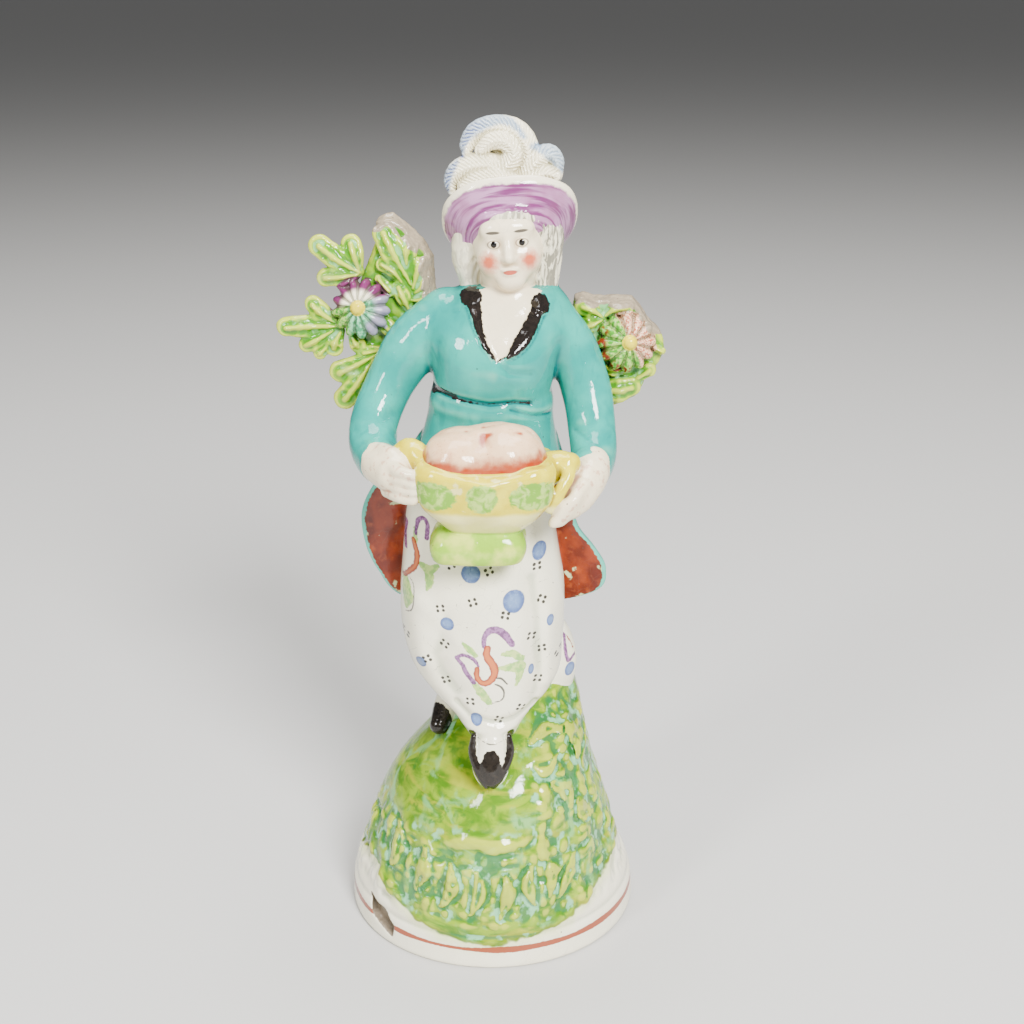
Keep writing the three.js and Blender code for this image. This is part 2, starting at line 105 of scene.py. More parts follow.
LEFT_LOBES = [
    [(-29.0, 155.6, 1.0), (-33.2, 158.2, 2.5), (-37.6, 161.4, 2.7)], [(-29.2, 156.2, 1.0), (-30.0, 159.2, 2.1), (-30.7, 161.9, 2.3)],
    [(-29.4, 155.2, 1.0), (-32.8, 154.8, 1.9), (-36.6, 154.4, 2.2)], [(-30.0, 154.4, 1.0), (-32.9, 153.0, 1.6)],
    [(-17.6, 153.0, 1.2), (-21.0, 159.5, 3.0), (-23.4, 164.2, 2.7)], [(-17.2, 152.1, 1.2), (-15.9, 156.4, 2.5), (-14.4, 157.6, 1.8)],
    [(-16.8, 151.1, 1.2), (-14.8, 152.6, 1.8), (-13.5, 153.1, 1.3)], [(-17.3, 149.4, 1.0), (-15.3, 149.6, 1.7), (-14.1, 149.4, 1.6)],
    [(-19.7, 153.6, 0.9), (-21.5, 156.0, 1.6), (-24.0, 157.4, 1.5)], [(-18.4, 155.6, 1.2), (-18.6, 160.0, 2.6), (-17.6, 162.0, 2.2)],
    [(-17.9, 146.6, 1.0), (-19.3, 149.8, 1.8), (-20.4, 152.2, 1.7)],
    [(-34.0, 143.6, 1.4), (-41.2, 143.6, 2.6), (-45.9, 143.1, 2.3)], [(-34.6, 144.3, 1.2), (-38.0, 146.8, 2.3), (-39.7, 148.3, 2.1)],
    [(-35.4, 142.6, 1.2), (-39.7, 140.2, 2.2), (-41.6, 139.2, 1.8)], [(-33.8, 142.1, 1.0), (-35.1, 139.8, 2.1), (-35.4, 138.6, 2.2)],
    [(-31.4, 141.6, 1.0), (-30.4, 139.6, 1.7), (-30.0, 139.0, 1.8)], [(-36.8, 139.0, 1.2), (-38.6, 137.2, 1.5)],
    [(-26.6, 136.0, 1.1), (-30.3, 130.4, 2.5), (-33.3, 126.6, 2.7)], [(-26.1, 136.9, 1.0), (-30.1, 134.9, 2.0), (-34.2, 132.8, 2.6)],
    [(-25.0, 137.9, 1.0), (-28.6, 137.4, 1.5)], [(-27.4, 133.0, 1.3), (-29.0, 127.6, 2.1)], [(-26.4, 146.6, 1.0), (-23.4, 143.6, 1.8), (-21.6, 141.6, 1.6)],
    [(-24.8, 154.0, 1.0), (-22.6, 151.6, 1.6)]]

RIGHT_LOBES = [
    [(25.1, 145.6, 0.8), (22.7, 147.3, 2.0), (20.8, 147.8, 2.1)], [(25.7, 145.8, 0.8), (28.0, 147.6, 1.8), (30.4, 147.8, 1.8)],
    [(25.1, 145.0, 0.8), (22.7, 143.9, 2.0), (21.0, 143.5, 2.0)], [(28.8, 145.0, 0.8), (26.1, 143.0, 1.6), (24.6, 141.2, 1.8)],
    [(29.8, 144.4, 0.8), (31.2, 145.8, 1.0)], [(24.6, 134.6, 1.4), (27.8, 133.8, 2.1), (29.6, 133.8, 1.8)],
    [(25.6, 129.0, 1.6), (29.0, 128.7, 3.0), (31.9, 129.2, 2.4)], [(33.4, 131.4, 1.2), (36.0, 133.2, 1.7)],
    [(37.0, 138.6, 0.9), (38.9, 137.6, 1.0)], [(24.0, 139.6, 1.0), (23.6, 137.2, 1.6), (24.4, 135.8, 1.5)]]

LEFT_SLAB = [
    (-25.0, 163.0), (-25.4, 167.6), (-21.6, 168.8), (-18.3, 166.4), (-14.0, 162.4), (-12.3, 158.8),
    (-11.8, 149.0), (-16.0, 140.0), (-24.0, 131.0), (-29.0, 134.0), (-32.0, 143.0), (-29.0, 154.0)]

RIGHT_SLAB = [
    (18.8, 150.2), (20.8, 150.9), (23.4, 149.9), (28.4, 150.3), (32.1, 149.9), (33.9, 148.1), (35.8, 145.2),
    (37.8, 143.2), (39.2, 139.8), (39.8, 138.2), (39.2, 136.2), (37.4, 133.6), (36.2, 132.2), (34.6, 128.6),
    (33.2, 126.6), (30.6, 125.4), (27.6, 124.6), (20.0, 127.0), (17.0, 138.0)]


def leaf_relief(along, across, width):
    share = np.abs(across) / width
    rib = 0.32 * np.exp(-(across / 0.42) ** 2)
    valley = -0.45 * np.exp(-((share - 0.46) / 0.24) ** 2)
    veins = 0.11 * np.cos(2 * math.pi * (along - 0.8 * np.abs(across)) / 2.1) * np.exp(-((share - 0.5) / 0.3) ** 2)
    return rib + valley + veins

LATTICE = np.random.default_rng(1815).uniform(-1, 1, (32, 32, 32)).astype(np.float32)


# Numbers

def spline(xs, ys, x):
    """A smooth curve through the points of a row table, level beyond its ends."""
    xs, ys = np.asarray(xs, float), np.asarray(ys, float)
    slopes = np.gradient(ys, xs)
    x = np.clip(x, xs[0], xs[-1])
    i = np.clip(np.searchsorted(xs, x) - 1, 0, len(xs) - 2)
    width = xs[i + 1] - xs[i]
    t = (x - xs[i]) / width
    value = ((1 + 2 * t) * (1 - t) ** 2 * ys[i] + t * (1 - t) ** 2 * width * slopes[i]
             + t * t * (3 - 2 * t) * ys[i + 1] + t * t * (t - 1) * width * slopes[i + 1])
    return value.astype(np.float32)


def step_up(low, high, x):
    """0 below low, 1 above high and smooth between them."""
    t = np.clip((x - low) / (high - low), 0, 1)
    return t * t * (3 - 2 * t)


def smooth_min(a, b, blend):
    if blend <= 0:
        return np.minimum(a, b)
    near = np.maximum(blend - np.abs(a - b), 0) / blend
    return np.minimum(a, b) - near * near * blend / 4


def smooth_max(a, b, blend):
    return -smooth_min(-a, -b, blend)


def noise(x, y, z, size, shift=0.0):
    """Smooth value noise from -1 to 1 with lumps of about the given size."""
    cells, parts = [], []
    for axis, c in enumerate((x, y, z)):
        c = c / size + shift * (axis + 1) + 64
        whole = np.floor(c).astype(np.int32)
        part = (c - whole).astype(np.float32)
        cells.append(whole)
        parts.append(part * part * (3 - 2 * part))
    total = 0
    for i, j, k in np.ndindex(2, 2, 2):
        weight = (parts[0] if i else 1 - parts[0]) * (parts[1] if j else 1 - parts[1]) \
            * (parts[2] if k else 1 - parts[2])
        total = total + weight * LATTICE[(cells[0] + i) % 32, (cells[1] + j) % 32, (cells[2] + k) % 32]
    return total


def turn_matrix(degrees):
    a, b, c = (math.radians(d) for d in degrees)
    about_x = np.array([[1, 0, 0], [0, math.cos(a), -math.sin(a)], [0, math.sin(a), math.cos(a)]])
    about_y = np.array([[math.cos(b), 0, math.sin(b)], [0, 1, 0], [-math.sin(b), 0, math.cos(b)]])
    about_z = np.array([[math.cos(c), -math.sin(c), 0], [math.sin(c), math.cos(c), 0], [0, 0, 1]])
    return about_x @ about_y @ about_z


def local(x, y, z, centre, matrix):
    """Coordinates in a frame that is turned by matrix and has its origin at centre."""
    p = (x - centre[0], y - centre[1], z - centre[2])
    return [sum(float(matrix[j, i]) * p[j] for j in range(3)) for i in range(3)]


# Shapes: a distance function and the box that holds the shape

class Shape:
    def __init__(self, distance, low, high):
        self.distance, self.low, self.high = distance, np.array(low, float), np.array(high, float)


def ball(centre, radii, turn=(0, 0, 0)):
    radii = np.ones(3) * radii
    matrix = turn_matrix(turn)
    reach = np.sqrt((matrix ** 2) @ radii ** 2)

    def distance(x, y, z):
        q = local(x, y, z, centre, matrix)
        return oval_distance([q[i] / radii[i] for i in range(3)], radii)

    return Shape(distance, np.array(centre) - reach, np.array(centre) + reach)


def oval_distance(shares, radii):
    """About the distance to an oval. shares are the place's coordinates over the oval's radii."""
    near = np.sqrt(sum(s * s for s in shares)) + 1e-3
    slope = np.sqrt(sum((s / r) ** 2 for s, r in zip(shares, radii))) + 1e-3
    return near * (near - 1) / slope


def follow(path, x, z):
    """The nearest place on a path in the front view: the gap, the length along it, the side, other columns."""
    best, start = None, 0.0
    for a, b in zip(path[:-1], path[1:]):
        dx, dz = b[0] - a[0], b[1] - a[1]
        length = math.hypot(dx, dz) + 1e-6
        t = np.clip(((x - a[0]) * dx + (z - a[1]) * dz) / length ** 2, 0, 1)
        px, pz = x - a[0] - t * dx, z - a[1] - t * dz
        now = [px * px + pz * pz, start + t * length, np.sign(dx * pz - dz * px)]
        now += [a[i] + t * (b[i] - a[i]) for i in range(2, len(a))]
        best = now if best is None else [np.where(now[0] < best[0], n, o) for n, o in zip(now, best)]
        start += length
    return [np.sqrt(best[0])] + best[1:]


def ribbon(points, x, z):
    """The distance to the edge of a ribbon through points of x, z and half width, under zero inside it."""
    gap, along, side, width = follow(smooth_path(points, 4 * len(points)), x, z)
    return gap - width


def frond(stations, relief=None, steps=12):
    """A flat limb in the front view, through stations of x, y, z, half width and half depth."""
    path = smooth_path(stations, steps)[:, (0, 2, 1, 3, 4)]

    def distance(x, y, z):
        gap, along, side, middle, width, depth = follow(path, x, z)
        deep = (y - middle) / depth
        raised = relief(along, gap * side, width) * step_up(0.5, -0.5, deep) if relief else 0
        return oval_distance((gap / width, deep), (width, depth)) - raised

    wide, deep = path[:, 3].max(), path[:, 4].max()
    low = (path[:, 0].min() - wide, path[:, 2].min() - deep, path[:, 1].min() - wide)
    high = (path[:, 0].max() + wide, path[:, 2].max() + deep, path[:, 1].max() + wide)
    return Shape(distance, np.array(low) - 0.5, np.array(high) + 0.5)


def billow(x, y, z, size, shift=0.0):
    """Rounded lumps with sharp creases between them, from -1 to 1."""
    return 2.6 * np.abs(noise(x, y, z, size, shift)) - 1


def smooth_path(stations, steps):
    """Points on a Catmull-Rom curve through the stations, each with all its columns."""
    p = np.array(stations, float)
    p = np.vstack([2 * p[0] - p[1], p, 2 * p[-1] - p[-2]])
    out = []
    for t in np.linspace(0, len(stations) - 1, steps + 1):
        i = min(int(t), len(stations) - 2)
        u = t - i
        a, b, c, d = p[i:i + 4]
        out.append(0.5 * (2 * b + (c - a) * u + (2 * a - 5 * b + 4 * c - d) * u ** 2
                          + (3 * b - a - 3 * c + d) * u ** 3))
    return np.array(out)


def tube(stations, steps=12):
    """A round limb through stations of x, y, z and radius."""
    path = smooth_path(stations, steps).astype(np.float32)

    def distance(x, y, z):
        best = None
        for a, b in zip(path[:-1], path[1:]):
            d = b - a
            length = float(d[:3] @ d[:3]) + 1e-9
            t = np.clip(((x - a[0]) * d[0] + (y - a[1]) * d[1] + (z - a[2]) * d[2]) / length, 0, 1)
            gap = np.sqrt((x - a[0] - t * d[0]) ** 2 + (y - a[1] - t * d[1]) ** 2
                          + (z - a[2] - t * d[2]) ** 2) - (a[3] + t * d[3])
            best = gap if best is None else np.minimum(best, gap)
        return best

    reach = path[:, 3].max()
    return Shape(distance, path[:, :3].min(0) - reach, path[:, :3].max(0) + reach)


def stack(rows, power=2.0, swell=None, rounding=1.0):
    """Oval sections at the rows' heights. A power over 2 squares them off."""
    table = np.array(rows, float)
    heights = table[:, 0]

    def distance(x, y, z):
        left, right, front, back = (spline(heights, table[:, i], z) for i in range(1, 5))
        dx, dy = x - (left + right) / 2, y - (front + back) / 2
        rx, ry = (right - left) / 2, (back - front) / 2
        share = (np.abs(dx / rx) ** power + np.abs(dy / ry) ** power) ** (1 / power) + 1e-4
        side = np.sqrt(dx * dx + dy * dy) * (1 - 1 / share)
        if swell:
            side = side - swell(np.arctan2(dy, dx), z)
        return smooth_max(side, np.maximum(z - heights[-1], heights[0] - z), rounding)

    low = (table[:, 1].min(), table[:, 3].min(), heights[0])
    high = (table[:, 2].max(), table[:, 4].max(), heights[-1])
    return Shape(distance, np.array(low) - 1.0, np.array(high) + 1.0)


def outline_distance(points, x, z):
    """The distance to a closed outline in the front view, under zero inside it."""
    best, inside = None, False
    for (ax, az), (bx, bz) in zip(points, points[1:] + points[:1]):
        dx, dz = bx - ax, bz - az
        t = np.clip(((x - ax) * dx + (z - az) * dz) / (dx * dx + dz * dz), 0, 1)
        gap = (x - ax - t * dx) ** 2 + (z - az - t * dz) ** 2
        best = gap if best is None else np.minimum(best, gap)
        crosses = ((az > z) != (bz > z)) & (x < (bx - ax) * (z - az) / (bz - az + 1e-9) + ax)
        inside = inside ^ crosses
    return np.where(inside, -1, 1) * np.sqrt(best)


def stroke_distance(points, x, z):
    """The distance to an open line of points in the front view."""
    best = None
    for (ax, az), (bx, bz) in zip(points[:-1], points[1:]):
        dx, dz = bx - ax, bz - az
        t = np.clip(((x - ax) * dx + (z - az) * dz) / (dx * dx + dz * dz), 0, 1)
        gap = (x - ax - t * dx) ** 2 + (z - az - t * dz) ** 2
        best = gap if best is None else np.minimum(best, gap)
    return np.sqrt(best)


def plate(points, front, back, rounding=1.0):
    """A flat slab with an outline in the front view."""
    xs, zs = zip(*points)

    def distance(x, y, z):
        side = outline_distance(points, x, z)
        return smooth_max(side, np.abs(y - (front + back) / 2) - (back - front) / 2, rounding)

    return Shape(distance, (min(xs), front, min(zs)), (max(xs), back, max(zs)))


# Clay: a grid of distances that shapes are added to

class Clay:
    def __init__(self, low, high, step):
        self.low, self.high, self.step = np.array(low, float), np.array(high, float), step
        self.axes = [np.arange(a, b + step, step, dtype=np.float32) for a, b in zip(low, high)]
        self.field = np.full([len(axis) for axis in self.axes], FAR, np.float32)

    def window(self, shape):
        cuts = []
        for axis, low, high in zip(self.axes, shape.low - FAR, shape.high + FAR):
            cuts.append(slice(*np.searchsorted(axis, (low, high))))
        x, y, z = (axis[cut] for axis, cut in zip(self.axes, cuts))
        return tuple(cuts), (x[:, None, None], y[None, :, None], z[None, None, :])

    def add(self, shape, blend=0.0):
        cuts, xyz = self.window(shape)
        if all(cut.stop > cut.start for cut in cuts):
            self.field[cuts] = smooth_min(self.field[cuts], shape.distance(*xyz), blend)

    def cut(self, shape, blend=0.0):
        cuts, xyz = self.window(shape)
        if all(cut.stop > cut.start for cut in cuts):
            self.field[cuts] = smooth_max(self.field[cuts], -shape.distance(*xyz), blend)

    def press(self, relief, band=1.6):
        """Raises the surface by relief(x, y, z) millimetres."""
        near = np.abs(self.field) < band
        i, j, k = np.nonzero(near)
        if len(i):
            x, y, z = (axis[n] for axis, n in zip(self.axes, (i, j, k)))
            self.field[near] -= relief(x, y, z).astype(np.float32)


# Mound

def mound_front(angle, height):
    """The place of a point on the mound's surface, by its angle in degrees and its height."""
    left, right, front, back = (float(spline([r[0] for r in MOUND], [r[i] for r in MOUND], height))
                                for i in range(1, 5))
    a = math.radians(angle)
    return ((left + right) / 2 + (right - left) / 2 * math.cos(a),
            (front + back) / 2 + (back - front) / 2 * math.sin(a), height)


def mound_relief(x, y, z):
    above_rim = step_up(8.6, 12.0, z)
    front = step_up(6.0, -10.0, y)
    low = step_up(34.0, 27.0, z) * step_up(9.0, 13.0, z)
    right = step_up(6.0, 14.0, x) * step_up(27.0, 33.0, z)
    leafy = np.clip(low + right, 0, 1) * (0.3 + 0.7 * front)
    total = 0.45 * noise(x, y, z, 12.0) + 0.16 * noise(x, y, z, 3.6, 0.4)
    total = total + leafy * (0.62 * billow(x, y, z, 4.6, 0.3) + 0.30 * billow(x, y, z, 2.3, 0.7))
    for leaf in MOUND_LEAVES:
        gap, along, side, width = follow(smooth_path(leaf, 8), x, z)
        share = gap / width
        total = total + front * (0.75 * step_up(1.15, 0.6, share) - 0.5 * np.exp(-((share - 1.5) / 0.4) ** 2)
                                 - 0.3 * np.exp(-(gap / 0.3) ** 2))
    total = total + front * 0.7 * step_up(1.6, -1.2, ribbon(MOUND_CREST, x, z))
    foot_line = -0.4 * np.exp(-((z - 8.2) / 0.8) ** 2)
    return above_rim * total + foot_line

CHIP = [(-29.0, 9.6), (-27.0, 8.4), (-25.4, 8.6), (-24.0, 6.4), (-23.2, 5.4), (-23.6, 2.6), (-25.4, 3.4), (-28.4, 5.0)]


def chip_cutter():
    """What the chip in the rim takes off: a shallow scoop with a rough edge."""
    def distance(x, y, z):
        edge = outline_distance(CHIP, x, z) + 0.3 * noise(x, y, z, 1.6, 0.9)
        inward = np.hypot(x, y) - BASE_RADIUS + 2.0 + 0.35 * noise(x, y, z, 1.3, 0.1)
        return smooth_max(edge, -inward + np.where(y < 0, 0, 9), 0.4)

    return Shape(distance, (-30, -36, 2), (-22, -16, 10))


def sculpt_mound(clay):
    clay.add(stack(MOUND, rounding=1.2))
    clay.press(mound_relief)
    clay.cut(chip_cutter(), 0.2)


# Dress and shoes

DRESS_FOLDS = [
    ([(-10.0, 84.0), (-10.6, 79.0), (-12.0, 75.5), (-10.4, 71.3), (-7.4, 67.3)], 2.4, -0.9),
    ([(-14.6, 98.0), (-16.0, 90.0), (-16.6, 82.0), (-15.2, 74.0)], 2.6, 0.6),
    ([(9.0, 92.0), (10.2, 83.0), (10.2, 76.5), (11.2, 70.0), (9.0, 64.6)], 2.0, -0.8),
    ([(13.2, 84.0), (13.4, 76.0), (12.6, 68.0)], 1.8, 0.7),
    ([(-0.6, 92.0), (-1.6, 84.0), (-2.6, 76.0), (-1.0, 68.0)], 3.4, 0.7),
    ([(-7.4, 64.4), (-4.6, 61.7), (0.8, 60.4), (5.2, 60.8), (9.8, 62.9)], 1.0, -0.8),
    ([(-5.0, 58.6), (0.4, 57.6), (5.4, 58.8)], 1.0, 0.5),
    ([(-18.0, 88.0), (-12.0, 84.6), (-6.0, 78.0)], 2.0, 0.4),
    ([(3.4, 96.0), (6.0, 84.0), (5.6, 72.0)], 2.2, 0.4)]


def dress_relief(x, y, z):
    front = step_up(-4.0, -12.0, y)
    behind = step_up(-2.0, 3.0, y) * step_up(100.0, 90.0, z)
    total = 0.2 * noise(x, y, z, 7.0, 0.4) + front * front_folds(DRESS_FOLDS, x, z)
    return total + behind * 0.5 * np.cos(0.9 * x + 0.05 * z)


def sculpt_dress(clay):
    clay.add(stack(SKIRT, 2.2))
    clay.add(ball((12.2, 2, 62.6), (8.6, 9, 10.8)), 2.0)
    clay.add(ball((1, 2, 64), (15, 11, 13), (0, -8, 0)), 2.0)
    clay.press(dress_relief)
    clay.add(tube([(0.4, -21.5, 59, 4.4), (0.4, -25, 54.5, 4.2), (0.3, -27, 51, 3.8)]), 0.5)
    clay.add(tube([(-8, 0, 58, 3.4), (-10.6, -4, 53, 3.2), (-12.6, -8, 49.4, 2.2)]), 0.8)
    clay.add(ball((0.0, -27.2, 50.4), (4.3, 3.4, 6.2), (-20, 0, 0)), 0.8)
    for side in (-1, 1):
        ear = [(0.2 + 3.9 * side, -27.6, 57.0, 0.7), (0.2 + 4.2 * side, -28.2, 53.2, 1.0),
               (0.1 + 2.8 * side, -29.6, 49.2, 0.9), (-0.1 + 0.8 * side, -30.2, 45.8, 0.7)]
        clay.add(tube(ear), 0.5)
    clay.add(ball((0.1, -29.6, 50.0), (2.5, 1.8, 4.4), (-16, 0, 0)), 0.4)


# Jacket

def jacket_tails():
    body = stack([(z, left, right, 2 * front - back, back) for z, left, right, front, back in JACKET_TAILS])
    table = np.array(JACKET_TAILS, float)

    def distance(x, y, z):
        left, right, front = (spline(table[:, 0], table[:, i], z) for i in (1, 2, 3))
        across = (x - (left + right) / 2) / ((right - left) / 2)
        face = front - 1.2 + 3.2 * (1 - np.clip(across * across, 0, 1))
        return smooth_max(body.distance(x, y, z), face - y, 1.4)

    return Shape(distance, body.low, body.high)


SLEEVES = [
    [(-9.5, 0.5, 146.5, 6.6), (-16.5, -0.5, 141, 6.4), (-22.4, -2.5, 132, 5.5), (-26, -7, 123.5, 5.3),
     (-25.4, -13.5, 119.6, 4.9), (-23.8, -18.6, 118.8, 4.6)],
    [(12.5, 0.5, 146, 6.6), (17.8, -0.5, 139.5, 6.0), (21.4, -2.5, 130.5, 5.5), (22.8, -7, 121.6, 5.3),
     (22.6, -13, 117.6, 4.9), (21.8, -17.2, 116.8, 4.6)]]

LAPELS = [
    [(-4.6, 152.6, 1.5), (-3.2, 150.6, 1.4), (-2.3, 147.0, 0.9), (-1.0, 143.6, 0.6), (0.8, 140.9, 0.35)],
    [(11.0, 151.6, 1.5), (9.7, 148.6, 1.4), (7.6, 145.0, 1.6), (5.6, 142.6, 1.2), (4.0, 141.0, 0.4)]]

KNOBS = [[(-5.0, 152.2, 1.5), (-3.2, 152.4, 1.6)], [(10.4, 151.4, 1.5), (11.8, 150.4, 1.3)]]

JACKET_FOLDS = [
    ([(-12.4, 132.0), (-7.0, 131.4), (0.0, 130.2), (5.0, 130.6), (8.6, 130.0)], 0.7, -0.7),
    ([(-12.0, 128.6), (-4.0, 127.4), (4.0, 127.2), (13.0, 127.8)], 1.8, 0.55),
    ([(4.6, 129.0), (9.0, 127.2), (13.0, 126.6)], 0.7, -0.45),
    ([(1.6, 139.4), (4.4, 137.6), (8.8, 137.0)], 1.0, -0.35),
    ([(-10.8, 143.0), (-11.4, 137.0), (-12.6, 131.6)], 1.4, -0.5),
    ([(14.8, 143.0), (14.0, 137.0), (14.0, 131.6)], 1.4, -0.5),
    ([(-26.6, 119.6), (-23.0, 121.4), (-20.4, 121.0)], 0.8, 0.35),
    ([(-29.0, 124.0), (-25.4, 124.6), (-21.4, 126.8)], 1.2, -0.3),
    ([(19.0, 123.4), (22.4, 121.8), (26.4, 122.4)], 1.0, -0.3)]


def front_folds(folds, x, z):
    return sum(height * np.exp(-(stroke_distance(path, x, z) / width) ** 2) for path, width, height in folds)

NECKLINE = [(-4.6, 156.0), (-2.6, 147.0), (0.2, 141.4), (1.6, 139.8), (3.2, 140.8), (8.2, 146.4), (12.4, 156.0)]


def jacket_relief(x, y, z):
    front = step_up(2.0, -3.0, y)
    chest = step_up(-6.0, -10.0, y)
    neck = -0.8 * chest * step_up(0.5, -0.6, outline_distance(NECKLINE, x, z))
    lapels = 0.7 * chest * max_of(step_up(0.35, -0.35, ribbon(points, x, z)) for points in LAPELS)
    knobs = 0.9 * chest * max_of(step_up(0.5, -0.7, ribbon(points, x, z)) for points in KNOBS)
    return front * front_folds(JACKET_FOLDS, x, z) + neck + lapels + knobs + 0.25 * noise(x, y, z, 6.5, 0.9)


def max_of(fields):
    return np.max(list(fields), axis=0)


def sculpt_jacket(clay):
    clay.add(stack(TORSO, 2.3))
    clay.add(jacket_tails(), 1.6)
    for sleeve in SLEEVES:
        clay.add(tube(sleeve, 22), 1.8)
    clay.press(jacket_relief)


# Head and hair

HEAD_TURN = turn_matrix((0, HEAD_TILT, 0))


def on_head(x, y, z):
    """A place that is given from the head's centre, in the figure's own frame."""
    return tuple(np.array(HEAD_CENTRE) + HEAD_TURN @ np.array((x, y, z)))


def head_ball(place, radii, turn=(0, 0, 0)):
    return ball(on_head(*place), radii, (turn[0], turn[1] + HEAD_TILT, turn[2]))


def sculpt_head(clay):
    clay.add(tube([(4, -0.5, 142, 7.4), (4, -1, 151, 6.2), (4, -1.5, 158, 5.4)]))
    clay.add(head_ball((0, 1.2, 1.6), (8.0, 9.0, 7.4)), 1.0)
    clay.add(head_ball((0, -2.2, -2.2), (7.2, 7.2, 7.6)), 2.4)
    clay.add(head_ball((0, -7.2, -7.6), (2.7, 1.9, 2.0)), 2.4)
    for side in (-1, 1):
        clay.add(head_ball((3.7 * side, -6.0, -3.2), (2.8, 2.3, 2.8)), 2.0)
    clay.add(head_ball((0, -6.9, 3.4), (5.6, 2.0, 2.4)), 2.0)
    for side in (-1, 1):
        clay.cut(head_ball((3.0 * side, -10.6, 0.6), (2.0, 2.0, 1.6)), 1.6)
        clay.add(head_ball((3.0 * side, -7.6, 0.6), (1.4, 1.2, 1.05)), 0.5)
    bridge, tip = on_head(0, -8.4, 1.6), on_head(0, -10.0, -2.4)
    clay.add(tube([(*bridge, 0.7), (*tip, 1.15)], 3), 1.0)
    for side in (-1, 1):
        clay.add(head_ball((0.95 * side, -9.2, -2.7), (0.8, 0.9, 0.7)), 0.6)
    clay.add(head_ball((0, -8.9, -5.0), (1.9, 0.9, 0.5)), 0.5)
    clay.add(head_ball((0, -8.8, -5.9), (1.5, 0.9, 0.55)), 0.5)


HAIR = [
    [(-1.6, -3.0, 168.6, 2.0), (-4.0, -1.6, 165.6, 3.2), (-5.0, 0.0, 161.0, 3.4), (-4.2, 1.0, 156.0, 3.0),
     (-3.0, 1.6, 151.0, 2.6)],
    [(9.4, -4.6, 168.4, 2.4), (12.0, -2.4, 166.0, 3.6), (12.2, -0.6, 161.0, 3.6), (11.8, 0.4, 156.0, 3.4),
     (11.4, 1.0, 151.0, 3.0)],
    [(-4.4, -3.4, 167.6, 1.2), (-1.4, -6.6, 169.0, 1.3), (2.6, -8.2, 169.9, 1.3), (6.4, -8.0, 170.2, 1.4),
     (10.0, -6.0, 169.4, 1.6), (12.6, -3.4, 168.0, 1.6)],
    [(4.2, 5.0, 168.0, 7.0), (4.2, 5.6, 160.0, 8.4), (4.2, 5.0, 152.0, 7.0)]]


def hair_relief(x, y, z):
    wave = x + 0.5 * y + 0.9 * np.sin(0.42 * z + 0.3 * x)
    return 0.10 * np.cos(4.4 * wave) + 0.08 * noise(x, y, z, 1.6, 0.2)


def sculpt_hair(clay):
    for lock in HAIR:
        clay.add(tube(lock), 1.4)
    clay.press(hair_relief)


def hat_share(a, b):
    """How far out on the brim a place is, from 0 at its middle to 1 at its edge."""
    up = b + 2.2
    top = (np.abs(a / BRIM_RADIUS) ** 2.5 + np.abs(up / 12.6) ** 2.5) ** 0.4
    bottom = np.sqrt((a / BRIM_RADIUS) ** 2 + (up / 15.6) ** 2)
    return np.where(up < 0, top, bottom) + 1e-4


def brim_dish(share):
    """The depth of the brim's middle surface along the hat's axis."""
    return np.maximum(-11.8 * (1 - share) - 1.2 * (1 - share) * share, -6.4)


# Hat

HAT_TURN = turn_matrix((BRIM_TILT, HEAD_TILT, 0))


def hat_shape():
    def distance(x, y, z):
        a, b, c = local(x, y, z, HAT_CENTRE, HAT_TURN)
        share = hat_share(a, b)
        out = np.sqrt(a * a + b * b) + 1e-4
        slant = 0.76
        brim = smooth_max((np.abs(c - brim_dish(share)) - BRIM_THICKNESS / 2 / slant) * slant,
                          (share - 1) * out / share, 1.2)
        crown = smooth_max(out - 9.4 + 0.22 * c, c - 8.4, 4.0)
        crown = smooth_max(crown, -c - 6.0, 0.4)
        return smooth_min(brim, crown, 1.6)

    reach = BRIM_RADIUS + 2
    centre = np.array(HAT_CENTRE)
    return Shape(distance, centre - reach, centre + reach)


def sculpt_hat(clay):
    clay.add(hat_shape())
    clay.press(lambda x, y, z: 0.1 * noise(x, y, z, 4.0, 0.6))
